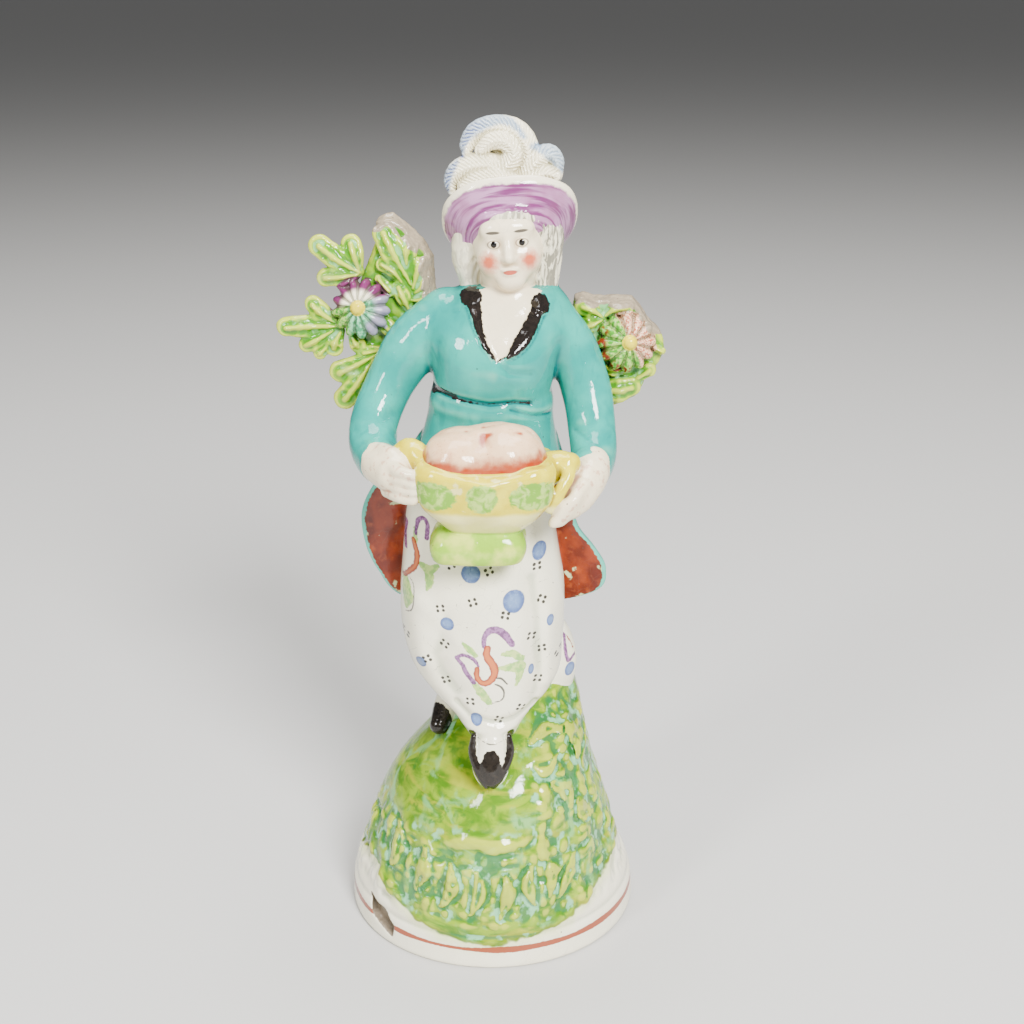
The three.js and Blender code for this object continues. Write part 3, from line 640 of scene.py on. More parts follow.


# Plume: each feather's lobe, as stations of x, y, z, half width and half depth along its spine

FEATHERS = [
    [(5.0, 1.0, 176.0, 8.6, 3.4), (4.0, 1.2, 181.0, 6.4, 3.0), (2.4, 1.4, 185.0, 4.6, 2.4)],
    [(8.0, -0.6, 178.0, 2.0, 2.2), (8.2, -0.4, 183.0, 2.5, 2.6), (5.7, 0.0, 186.4, 2.8, 2.6),
     (1.5, 0.2, 187.6, 2.5, 2.4), (-2.5, -0.2, 186.6, 2.3, 2.2), (-4.5, -0.8, 184.0, 1.9, 1.9),
     (-4.9, -1.4, 182.4, 1.0, 1.4)],
    [(-0.6, -1.0, 176.6, 2.2, 2.4), (3.4, -1.6, 179.4, 2.4, 2.2), (5.2, -2.0, 182.4, 2.3, 2.0),
     (3.4, -2.2, 184.8, 2.1, 1.8), (0.4, -2.2, 184.8, 1.9, 1.7), (-1.7, -2.4, 183.0, 1.4, 1.4)],
    [(5.0, -1.4, 176.6, 1.9, 2.4), (1.0, -1.6, 179.6, 2.5, 2.4), (-3.2, -1.6, 179.8, 2.6, 2.4),
     (-6.6, -1.6, 178.6, 2.3, 2.2), (-8.1, -1.4, 176.4, 1.7, 2.0), (-8.0, -1.4, 174.4, 1.0, 1.6)],
    [(4.8, -3.0, 176.8, 1.7, 2.0), (1.4, -3.2, 177.8, 1.9, 1.9), (-2.4, -3.0, 177.0, 2.1, 2.0),
     (-5.4, -2.8, 175.4, 1.5, 1.8)],
    [(7.4, -1.0, 177.0, 1.9, 2.2), (9.9, -1.2, 180.4, 2.7, 2.4), (12.6, -1.0, 182.0, 2.2, 2.2),
     (14.3, -0.8, 180.6, 1.7, 2.0), (14.6, -0.8, 178.2, 1.2, 1.6)],
    [(8.0, -2.4, 176.6, 1.7, 2.0), (11.6, -2.2, 178.2, 2.0, 2.0), (14.2, -1.8, 177.6, 1.4, 1.8)]]


def barbs(along, across, width):
    """Fine ridges that sweep back from a feather's spine."""
    return (0.20 * np.cos(2 * math.pi * (along - 0.9 * np.abs(across)) / 0.85)
            + 0.22 * np.exp(-(across / 0.35) ** 2)) * step_up(1.02, 0.8, np.abs(across) / width)


def sculpt_plume(clay):
    for spine in FEATHERS:
        clay.add(frond(spine, barbs, 16), 0.35)


# Hands


def sculpt_hands(clay):
    clay.add(tube([(-24.6, -17.0, 119.0, 4.2), (-22.6, -21.6, 118.8, 4.4), (-20.2, -25.4, 118.4, 4.2)]))
    clay.add(tube([(-22.6, -21.0, 122.0, 1.7), (-20.8, -24.0, 122.4, 1.6), (-18.6, -25.8, 121.4, 1.4)]), 1.2)
    for i in range(4):
        z, reach = 120.2 - 1.85 * i, 0.5 * i
        clay.add(tube([(-21.4, -26.2, z + 0.2, 1.5), (-18.8, -29.4, z + 0.1, 1.45),
                       (-15.6 - reach * 0.3, -31.2 + 0.2 * i, z - 0.3, 1.2)]), 0.55)
    clay.add(tube([(22.2, -16.4, 117.2, 4.2), (21.4, -20.4, 116.0, 4.1), (19.4, -23.6, 113.6, 3.8),
                   (17.4, -25.6, 111.4, 3.0)]))
    for i in range(4):
        s = 1.7 * i
        clay.add(tube([(19.8 - 0.55 * s, -26.0 - 0.1 * s, 115.8 - s, 1.5),
                       (17.8 - 0.55 * s, -28.4, 113.6 - 0.9 * s, 1.4),
                       (15.6 - 0.35 * s, -29.2, 112.2 - 0.7 * s, 1.2)]), 1.1)
    clay.press(lambda x, y, z: 0.12 * noise(x, y, z, 2.2, 0.3))


# Tureen and food

def sculpt_tureen(clay):
    def flutes(angle, z):
        return 0.55 * np.cos(6 * angle + math.pi) * step_up(110, 114, z)

    def boxed(rows, x):
        return [(z, x - rx, x + rx, TUREEN_Y - ry, TUREEN_Y + ry) for z, rx, ry in rows]

    clay.add(stack(boxed(BOWL, TUREEN_X), 3.0, flutes, 0.8))
    clay.add(stack(boxed(FOOT, TUREEN_X - 1.6), 5.0, None, 0.8), 0.6)
    clay.cut(ball((TUREEN_X - 0.6, TUREEN_Y - 12.5, 126.6), (14.5, 8.0, 6.6)), 1.2)
    clay.add(tube([(-12.4, -26.4, 119.0, 2.4), (-14.6, -24.6, 122.0, 2.7), (-17.2, -22.6, 123.0, 2.5),
                   (-19.6, -21.4, 121.4, 2.0)]), 1.2)
    clay.add(tube([(11.0, TUREEN_Y + 3.0, 117.6, 3.8), (14.4, -23.2, 119.6, 3.2), (17.2, -23.2, 120.2, 2.3)]), 1.0)
    clay.add(tube([(16.6, -24.4, 120.4, 1.8), (16.4, -26.6, 117.8, 1.5), (14.4, -28.4, 114.6, 1.3),
                   (12.8, -28.4, 111.6, 1.0)]), 0.8)
    clay.cut(ball((TUREEN_X, TUREEN_Y, 124.6), (13.0, 9.4, 3.4)), 0.6)
    clay.press(lambda x, y, z: 0.22 * noise(x, y, z, 4.6, 0.8) + 0.06 * noise(x, y, z, 1.6, 0.2))


def sculpt_food(clay):
    clay.add(ball((-5.0, TUREEN_Y, 121.6), (8.8, 8.8, 6.8), (0, 10, 0)))
    clay.add(ball((3.6, TUREEN_Y, 122.4), (8.4, 8.6, 7.2), (0, 8, 0)), 3.0)
    clay.add(ball((-8.4, TUREEN_Y - 2, 122.2), (3.8, 5.0, 4.4)), 2.0)
    clay.cut(ball((-1.4, TUREEN_Y - 5.8, 129.6), (1.6, 4.4, 2.6), (30, 0, 0)), 2.0)
    clay.press(lambda x, y, z: 0.4 * noise(x, y, z, 5.0, 0.1) + 0.14 * noise(x, y, z, 1.9, 0.5))


# Bocage

def leaf_lobe(points):
    """A lobe that swells in front of the bocage's plane, with a raised midrib and rim."""
    count = len(points) - 1
    stations = []
    for i, (x, z, width) in enumerate(points):
        rise = math.sin(math.pi * (0.15 + 0.6 * i / count))
        stations.append((x, LEAF_Y + 0.4 - 2.0 * rise, z, width, 1.3 + 0.5 * rise))
    return frond(stations, leaf_relief, 8)


def flower_frame(flower):
    """A flower's centre and its three directions: sideways, up and out."""
    centre, facing = (np.array(v, float) for v in flower[:2])
    out = facing / np.linalg.norm(facing)
    side = np.cross((0, 0, 1), out)
    side /= np.linalg.norm(side)
    return centre, side, np.cross(out, side), out


def sculpt_flower(clay, flower):
    """A dome of ribbed petals round a boss."""
    radius, petals, turn, height, depth = flower[2], flower[3], flower[4], 3.0, 4.6
    centre, side, up, out = flower_frame(flower)

    def distance(x, y, z):
        rel = (x - centre[0], y - centre[1], z - centre[2])
        a, b, lift = (sum(float(way[i]) * rel[i] for i in range(3)) for way in (side, up, out))
        reach = np.sqrt(a * a + b * b)
        petal = np.abs(np.cos(petals * np.arctan2(b, a) / 2 + turn))
        tall = np.where(lift > 0, height, depth)
        dome = oval_distance((reach / radius, lift / tall), (radius, tall))
        ribs = (0.9 * petal - 0.62) * step_up(1.0, 2.8, reach)
        tips = 0.5 * (petal - 0.6) * step_up(0.7 * radius, radius, reach)
        return dome - ribs - tips + 0.6 * np.exp(-(reach / 1.9) ** 2)

    clay.add(Shape(distance, centre - radius - 1, centre + radius + 1), 0.3)
    clay.add(ball(centre + out * (height - 0.3), (1.55, 1.35, 1.55)), 0.15)


def break_cutter(points, lean, seed):
    """What a break takes off: all that lies past a rough line, slanting further in towards the front."""
    xs, zs = zip(*points)

    def distance(x, y, z):
        rough = 0.3 * noise(x, y, z, 1.9, seed) + 0.12 * noise(x, y, z, 0.7, seed + 0.5)
        return outline_distance(points, x, z) + rough - lean * np.maximum(LEAF_Y + SLAB_THICKNESS - 0.4 - y, 0)

    return Shape(distance, (min(xs), 0, min(zs)), (max(xs), 12, max(zs)))


LEFT_BREAK = [
    (-26.4, 172.0), (-25.4, 167.2), (-23.4, 168.4), (-21.5, 168.4), (-18.6, 166.4), (-15.7, 163.5),
    (-13.6, 161.2), (-12.6, 158.8), (-12.4, 154.9), (-11.9, 149.4), (-8.0, 149.4), (-8.0, 172.0)]

RIGHT_BREAK = [
    (17.0, 154.0), (18.8, 150.0), (20.8, 150.6), (23.4, 149.6), (28.4, 149.9), (32.1, 149.6), (33.9, 147.8),
    (35.9, 144.8), (38.0, 142.6), (44.0, 141.0), (44.0, 154.0)]

LEFT_FLOWER = ((-28.9, 3.4, 147.7), (-0.2, -1, 0.26), 6.3, 13, 0.3)
RIGHT_FLOWER = ((30.6, 3.4, 140.0), (0.22, -1, 0.2), 6.4, 12, 0.1)


def sculpt_left_bocage(clay):
    clay.add(plate(LEFT_SLAB, LEAF_Y, LEAF_Y + SLAB_THICKNESS, 2.0))
    clay.add(tube([(-6, 10.4, 137, 4.4), (-14, 9.2, 142, 4.0), (-22, 8.2, 148, 3.2)]), 1.0)
    for lobe in LEFT_LOBES:
        clay.add(leaf_lobe(lobe), 0.5)
    clay.press(lambda x, y, z: 0.22 * noise(x, y, z, 3.4, 0.5) + 0.07 * noise(x, y, z, 1.3, 0.1))
    clay.cut(break_cutter(LEFT_BREAK, 0.42, 0.2), 0.1)
    sculpt_flower(clay, LEFT_FLOWER)


def sculpt_right_bocage(clay):
    clay.add(plate(RIGHT_SLAB, LEAF_Y - 0.6, LEAF_Y + SLAB_THICKNESS, 1.6))
    clay.add(tube([(8, 10.4, 139, 4.2), (16, 9.2, 140, 3.8), (27, 8.2, 139, 3.2)]), 1.0)
    for lobe in RIGHT_LOBES:
        clay.add(leaf_lobe(lobe), 0.5)
    clay.press(lambda x, y, z: 0.3 * noise(x, y, z, 3.4, 0.5) + 0.07 * noise(x, y, z, 1.3, 0.1))
    clay.cut(break_cutter(RIGHT_BREAK, 0.2, 0.4), 0.1)
    sculpt_flower(clay, RIGHT_FLOWER)


def sculpt_trunk(clay):
    clay.add(tube([(5, 15, 50, 12), (1, 13.4, 76, 8.6), (3, 12.6, 100, 7.6), (0, 11, 124, 7.2),
                   (1, 9.6, 143, 5.4)], 24))
    clay.press(lambda x, y, z: 0.45 * np.cos(1.1 * x + 0.5 * np.sin(0.2 * z)) + 0.4 * noise(x, y, z, 5.0, 0.3))


# Pieces: the sculpting function, the box, the grid's step, the glaze's slot, and the pieces that it meets

PIECES = {
    "mound": (sculpt_mound, (-37, -38, -1), (38, 37, 68), 0.5, "grass_glaze", ("dress", "trunk")),
    "dress": (sculpt_dress, (-23, -33, 44), (23, 15, 114), 0.34, "dress_glaze",
              ("mound", "jacket", "tureen", "trunk")),
    "jacket": (sculpt_jacket, (-33, -22, 76), (31, 18, 156), 0.45, "jacket_glaze",
               ("dress", "head", "hair", "hands", "tureen", "food", "left_bocage", "right_bocage", "trunk")),
    "head": (sculpt_head, (-7, -14, 140), (15, 12, 178), 0.24, "flesh_glaze", ("jacket", "hair", "hat")),
    "hair": (sculpt_hair, (-10, -12, 148), (18, 14, 178), 0.26, "flesh_glaze", ("head", "jacket", "hat")),
    "hat": (sculpt_hat, (-12, -14, 152), (21, 17, 182), 0.26, "hat_glaze", ("head", "hair", "plume")),
    "plume": (sculpt_plume, (-12, -8, 170), (18, 6, 192), 0.2, "plume_glaze", ("hat",)),
    "hands": (sculpt_hands, (-29, -34, 108), (27, -12, 127), 0.22, "flesh_glaze", ("jacket", "tureen")),
    "tureen": (sculpt_tureen, (-22, -38, 98), (22, -12, 127), 0.3, "tureen_glaze",
               ("dress", "jacket", "hands", "food")),
    "food": (sculpt_food, (-16, -36, 114), (15, -14, 132), 0.3, "flesh_glaze", ("tureen", "jacket")),
    "left_bocage": (sculpt_left_bocage, (-51, -3, 120), (-3, 15, 171), 0.27, "leaf_glaze", ("jacket", "trunk")),
    "right_bocage": (sculpt_right_bocage, (6, -3, 121), (43, 15, 153), 0.27, "leaf_glaze", ("jacket", "trunk")),
    "trunk": (sculpt_trunk, (-9, 2, 46), (19, 29, 151), 0.6, "grass_glaze",
              ("mound", "dress", "jacket", "left_bocage", "right_bocage")),
}


def fired(name):
    """The field of a piece: its own form, filleted to its neighbours and sunk under them past the crease."""
    sculpt, low, high, step, slot, neighbours = PIECES[name]
    own = Clay(low, high, step * COARSE)
    sculpt(own)
    other = np.full(own.field.shape, FAR, np.float32)
    for neighbour in neighbours:
        near = Clay(low, high, step * COARSE)
        PIECES[neighbour][0](near)
        other = np.minimum(other, near.field)
    lead = own.field - other
    joined = smooth_min(own.field, other, SEAM_BLEND) + 0.5 * np.maximum(lead, 0)
    own.field = np.maximum(joined, lead - SEAM_OVERLAP)
    return own


def box_blur(field, cells):
    for axis in range(3):
        pad = [(0, 0)] * 3
        pad[axis] = (cells + 1, cells)
        total = np.cumsum(np.pad(field, pad, mode="edge"), axis=axis, dtype=np.float64)
        width = 2 * cells + 1
        upper = np.take(total, range(width, total.shape[axis]), axis=axis)
        lower = np.take(total, range(0, total.shape[axis] - width), axis=axis)
        field = ((upper - lower) / width).astype(np.float32)
    return field


def sample(field, at):
    base = np.clip(np.floor(at).astype(int), 0, np.array(field.shape) - 2)
    part = at - base
    total = np.zeros(len(at))
    for corner in np.ndindex(2, 2, 2):
        weight = np.prod(np.where(corner, part, 1 - part), axis=1)
        total += weight * field[tuple((base + corner).T)]
    return total


def largest_shell(points, quads):
    """Only the faces of the biggest connected shells, so that no crumbs are left."""
    label = np.arange(len(points))
    ends = np.concatenate([quads[:, (0, 1)], quads[:, (1, 2)], quads[:, (2, 3)], quads[:, (3, 0)]])
    while True:
        low = np.minimum(label[ends[:, 0]], label[ends[:, 1]])
        new = label.copy()
        np.minimum.at(new, ends[:, 0], low)
        np.minimum.at(new, ends[:, 1], low)
        new = new[new]
        if (new == label).all():
            break
        label = new
    owner = label[quads[:, 0]]
    names, counts = np.unique(owner, return_counts=True)
    kept = names[counts > 0.04 * counts.max()]
    quads = quads[np.isin(owner, kept)]
    used = np.unique(quads)
    renumber = np.zeros(len(points), int)
    renumber[used] = np.arange(len(used))
    return points[used], renumber[quads]


def meshed(name, clay):
    """The surface of the clay as a closed mesh in metres, and its points and normals in millimetres."""
    grid = openvdb.FloatGrid(FAR)
    grid.copyFromArray(clay.field)
    points, quads = grid.convertToQuads(isovalue=0.0)
    points, quads = largest_shell(points.astype(float), quads.astype(int))
    slope = [np.gradient(clay.field, axis=axis) for axis in range(3)]
    for _ in range(2):
        normal = np.stack([sample(s, points) for s in slope], axis=1)
        steep = np.sum(normal ** 2, axis=1) + 1e-9
        away = np.clip(sample(clay.field, points) / steep, -0.5, 0.5)
        points = points - away[:, None] * normal
    normal /= np.sqrt(steep)[:, None]
    places = points * clay.step + clay.low
    mesh = bpy.data.meshes.new(name)
    mesh.vertices.add(len(places))
    mesh.vertices.foreach_set("co", (places * MM).astype(np.float32).ravel())
    a, b, c, d = (places[quads[:, i]] for i in range(4))
    volume = np.sum(np.cross(c - a, d - b) * (a + b + c + d))
    if volume < 0:
        quads = quads[:, ::-1]
    mesh.loops.add(quads.size)
    mesh.loops.foreach_set("vertex_index", quads.astype(np.int32).ravel())
    mesh.polygons.add(len(quads))
    mesh.polygons.foreach_set("loop_start", np.arange(0, quads.size, 4, dtype=np.int32))
    mesh.update(calc_edges=True)
    mesh.shade_smooth()
    # The 'edge' value is above zero on ridges and under zero in creases; the glazes paint glaze pooling, painted shade
    # and painted highlights from it.
    bulge = box_blur(clay.field, max(1, round(1.0 / clay.step))) - clay.field
    set_attribute(mesh, "edge", np.clip(3 * sample(bulge, points), -1, 1))
    piece = bpy.data.objects.new(name, mesh)
    bpy.context.scene.collection.objects.link(piece)
    return piece, places, normal


def set_attribute(mesh, name, values):
    values = np.asarray(values, np.float32)
    kind, key = ("FLOAT_VECTOR", "vector") if values.ndim == 2 else ("FLOAT", "value")
    mesh.attributes.new(name, kind, "POINT").data.foreach_set(key, values.ravel())


# Paint: what each piece's vertices know about the painting on it, as distances in millimetres

BLUE_DOTS = [
    (10.9, 97.5, 1.66, 2.0), (-4.2, 94.3, 2.16, 2.0), (5.2, 88.2, 2.41, 2.5), (-9.5, 83.0, 1.58, 1.41),
    (13.4, 82.3, 0.83, 1.33), (-15.6, 72.7, 1.25, 1.41), (9.1, 71.8, 0.67, 1.16), (18.6, 62.2, 1.25, 1.75),
    (-3.1, 61.1, 1.33, 1.66), (9.4, 60.6, 0.83, 0.75)]

SPECKS = [
    (10.4, 94.4), (-3.8, 88.4), (-0.2, 94.9), (-8.6, 95.8), (-11.0, 86.3), (3.4, 85.3), (11.5, 87.2),
    (-10.1, 78.3), (9.2, 79.5), (11.5, 75.9), (15.5, 72.9), (-14.2, 74.0), (-9.9, 69.5), (-4.5, 65.4),
    (10.6, 69.1), (6.8, 63.2), (1.9, 61.0), (-19.2, 78.0)]

SPRIGS = {
    "purple": [
        [(-1.3, 78.6, 0.5), (-1.3, 80.6, 0.6), (-0.2, 82.2, 0.8), (1.6, 82.2, 0.8), (3.2, 81.0, 0.9), (4.9, 78.8, 0.7)],
        [(-7.6, 75.7, 0.35), (-5.8, 76.6, 0.45), (-3.6, 75.6, 0.45), (-2.6, 74.2, 0.3)],
        [(-7.5, 75.6, 0.4), (-6.2, 74.2, 0.5), (-5.2, 72.2, 0.6), (-3.7, 70.2, 0.55)],
        [(-16.6, 100.8, 0.35), (-16.2, 103.4, 0.5), (-15.0, 104.6, 0.45), (-13.9, 103.6, 0.5), (-14.0, 100.8, 0.55)],
        [(-18.9, 102.1, 0.4), (-19.3, 99.4, 0.45), (-19.1, 96.6, 0.4)],
        [(17.2, 70.9, 0.3), (17.5, 67.4, 0.4), (18.2, 64.5, 0.4), (20.0, 65.4, 0.35)]],
    "red": [
        [(-0.6, 78.2, 0.8), (-0.7, 76.4, 0.9), (0.5, 74.4, 0.95), (1.0, 72.4, 0.9), (-0.1, 70.5, 0.8),
         (-1.8, 70.2, 0.7), (-2.9, 71.6, 0.7), (-2.9, 73.5, 0.55)],
        [(-17.2, 99.3, 0.6), (-16.3, 96.8, 0.7), (-16.6, 94.4, 0.6), (-18.2, 92.2, 0.5), (-19.6, 90.6, 0.4)],
        [(18.2, 69.9, 0.4), (19.0, 68.6, 0.5), (19.6, 67.0, 0.35)]],
    "leaf": [
        [(2.9, 76.5, 0.5), (5.0, 76.6, 0.9), (7.1, 75.0, 0.6)],
        [(2.2, 73.3, 0.5), (4.6, 73.4, 1.0), (6.6, 73.2, 1.3), (6.4, 71.2, 0.8), (5.8, 69.2, 0.4)],
        [(-5.9, 79.3, 0.4), (-4.4, 77.8, 0.8), (-3.1, 76.6, 0.5)],
        [(-3.4, 69.6, 0.6), (-2.0, 67.8, 1.0), (-0.3, 65.5, 0.8)],
        [(-15.3, 95.0, 0.7), (-13.6, 94.2, 1.1), (-11.6, 95.0, 0.6)],
        [(-13.6, 94.0, 1.1), (-13.4, 91.8, 1.0), (-13.9, 89.9, 0.4)],
        [(-19.0, 90.0, 0.9), (-18.6, 87.2, 1.4), (-19.0, 84.4, 0.6)],
        [(-16.6, 101.8, 0.5), (-16.8, 99.4, 0.6)],
        [(20.0, 67.1, 0.6), (20.6, 64.9, 0.5)]],
    "black": [
        [(0.8, 69.9, 0.15), (2.4, 69.0, 0.25), (3.1, 67.4, 0.2), (2.5, 65.9, 0.2), (0.5, 65.3, 0.15)],
        [(1.3, 71.2, 0.2), (2.6, 70.9, 0.25), (3.8, 69.5, 0.2)],
        [(-20.0, 91.0, 0.1), (-17.4, 90.6, 0.12), (-17.0, 87.4, 0.12), (-17.6, 84.4, 0.12), (-19.2, 83.0, 0.1)],
        [(-3.4, 56.6, 0.1), (0.4, 55.7, 0.1), (4.2, 56.6, 0.1)]]}

SHOE = [
    [(-4.0, 57.4, 0.9), (-4.3, 53.6, 1.1), (-3.0, 49.6, 1.1), (-0.9, 45.6, 0.8)],
    [(4.5, 57.2, 0.9), (4.5, 53.2, 1.1), (3.2, 49.4, 1.1), (0.5, 45.6, 0.8)],
    [(0.2, 52.6, 1.9), (0.1, 50.0, 2.5), (-0.2, 46.6, 1.3)]]

PLUME_BLUE = [
    [(-5.8, 181.8, 0.5), (-5.7, 184.6, 1.3), (-4.2, 187.2, 1.8), (-1.2, 188.8, 1.7), (2.0, 189.3, 1.1),
     (5.0, 188.4, 0.8), (7.4, 185.8, 0.5)],
    [(9.4, 183.8, 0.7), (12.0, 183.3, 1.5), (14.0, 182.0, 1.8), (15.3, 180.0, 1.2), (15.6, 178.6, 0.4)],
    [(-6.8, 180.8, 0.4), (-8.5, 178.4, 1.1), (-9.2, 176.0, 1.0), (-8.9, 174.2, 0.5)]]


def ribbons(lines, x, z):
    return np.min([ribbon(points, x, z) for points in lines], axis=0)


def paint_dress(mesh, at, normal):
    x, y, z = at.T
    front = np.where(y < -1, 0.0, 9.0)
    dots = [np.hypot((x - cx) / rx, (z - cz) / rz) - 1 for cx, cz, rx, rz in BLUE_DOTS]
    set_attribute(mesh, "blue", np.min(dots, axis=0) + front)
    for colour, lines in SPRIGS.items():
        set_attribute(mesh, colour, ribbons(lines, x, z) + front)
    shoe = ribbons(SHOE, x, z) + np.where(y < -24, 0, 9)
    rear = np.hypot(np.hypot(x + 12.9, (y + 7.5) * 0.7), (z - 50.4) * 0.8) - 3.4
    set_attribute(mesh, "shoe", np.minimum(shoe, rear + np.where(x < -8, 0, 9)))
    nearest = np.argmin([np.hypot(x - cx, z - cz) for cx, cz in SPECKS], axis=0)
    centres = np.array(SPECKS)[nearest]
    lean = 0.5 * np.sin(7.0 * nearest)
    u, v = x - centres[:, 0], z - centres[:, 1]
    turned = np.stack([u * np.cos(lean) + v * np.sin(lean), v * np.cos(lean) - u * np.sin(lean), front], axis=1)
    set_attribute(mesh, "speck", turned)


def paint_mound(mesh, at, normal):
    x, y, z = at.T
    angle = np.degrees(np.arctan2(y, x))
    edge = spline([-180, -150, -125, -100, -80, -60, -40, -20, 0, 60, 180],
                  [14, 17, 11, 6.6, 7.2, 9.4, 14, 17, 18, 15, 14], angle)
    rag = 0.7 * noise(x, y, z, 2.6, 0.2) + 0.45 * noise(x, y, z, 1.1, 0.6)
    set_attribute(mesh, "green", edge - z + rag)
    set_attribute(mesh, "chip", chip_cutter().distance(x, y, z))


def paint_jacket(mesh, at, normal):
    x, y, z = at.T
    table = np.array(JACKET_TAILS, float)
    left, right, front = (spline(table[:, 0], table[:, i], z) for i in (1, 2, 3))
    across = (x - (left + right) / 2) / ((right - left) / 2)
    side = np.abs(across) * (right - left) / 2 - (right - left) / 2 + 0.9
    depth = y - (front - 1.2 + 3.2 * (1 - np.clip(across * across, 0, 1))) - 0.9
    set_attribute(mesh, "lining", np.maximum(np.maximum(side, depth), z - 112))
    chest = np.where(y < -5, 0, 9)
    set_attribute(mesh, "skin", outline_distance(NECKLINE, x, z) + chest)
    belt = ribbon([(-8.0, 131.2, 0.25), (-2.0, 130.4, 0.15), (4.0, 130.6, 0.12), (8.6, 130.0, 0.3)], x, z)
    dash = ribbon([(-12.9, 131.6, 0.8), (-10.6, 132.4, 0.7), (-7.6, 131.9, 0.6)], x, z)
    trim = np.minimum(ribbons(LAPELS + KNOBS, x, z), np.minimum(dash, belt)) + np.where(y < -2, 0, 9)
    tip = stroke_distance([(0.6, 141.2), (1.6, 140.0), (3.4, 141.0)], x, z) - 0.15 + chest
    set_attribute(mesh, "black", np.minimum(trim, tip))


def paint_head(mesh, at, normal):
    a, b, c = local(*at.T, HEAD_CENTRE, HEAD_TURN)
    set_attribute(mesh, "face", np.stack([a, c, b], axis=1))


def paint_hat(mesh, at, normal):
    a, b, c = local(*at.T, HAT_CENTRE, HAT_TURN)
    share = hat_share(a, b)
    set_attribute(mesh, "brim", np.stack([np.arctan2(b, a) * 8, (share - 1) * 14, c - brim_dish(share)], axis=1))


def paint_plume(mesh, at, normal):
    x, y, z = at.T
    set_attribute(mesh, "blue", ribbons(PLUME_BLUE, x, z))


def paint_tureen(mesh, at, normal):
    x, y, z = at.T
    angle = np.degrees(np.arctan2(y - TUREEN_Y, x - TUREEN_X))
    panels = []
    for centre, wide in ((-140, 19), (-93, 17), (-42, 21)):
        panels.append(np.hypot((angle - centre) / wide, (z - 116.6) / 3.2) - 1)
    set_attribute(mesh, "panel", np.min(panels, axis=0) * 3)
    set_attribute(mesh, "height", z)


def paint_bocage(break_line, lean, flower):
    def paint(mesh, at, normal):
        centre, side, up, out = flower_frame(flower)
        rel = at - centre
        lift = rel @ out
        a, b = rel @ side, rel @ up
        reach = np.where(lift > -1.5, np.hypot(a, b), 20)
        set_attribute(mesh, "broken", break_cutter(break_line, lean, 0.0).distance(*at.T) - 0.45)
        set_attribute(mesh, "flower", np.stack([-a, b, reach], axis=1))
        set_attribute(mesh, "boss", np.linalg.norm(rel - out * 2.7, axis=1) - 1.75)
    return paint


PAINT = {
    "mound": paint_mound, "dress": paint_dress, "jacket": paint_jacket, "head": paint_head, "hat": paint_hat,
    "plume": paint_plume, "tureen": paint_tureen,
    "left_bocage": paint_bocage(LEFT_BREAK, 0.42, LEFT_FLOWER),
    "right_bocage": paint_bocage(RIGHT_BREAK, 0.2, RIGHT_FLOWER)}


# Materials

def linear(red, green, blue):
    """A linear colour from everyday 0 to 255 values."""
    return tuple((c / 255 / 12.92 if c < 10.3 else ((c / 255 + 0.055) / 1.055) ** 2.4)
                 for c in (red, green, blue)) + (1.0,)


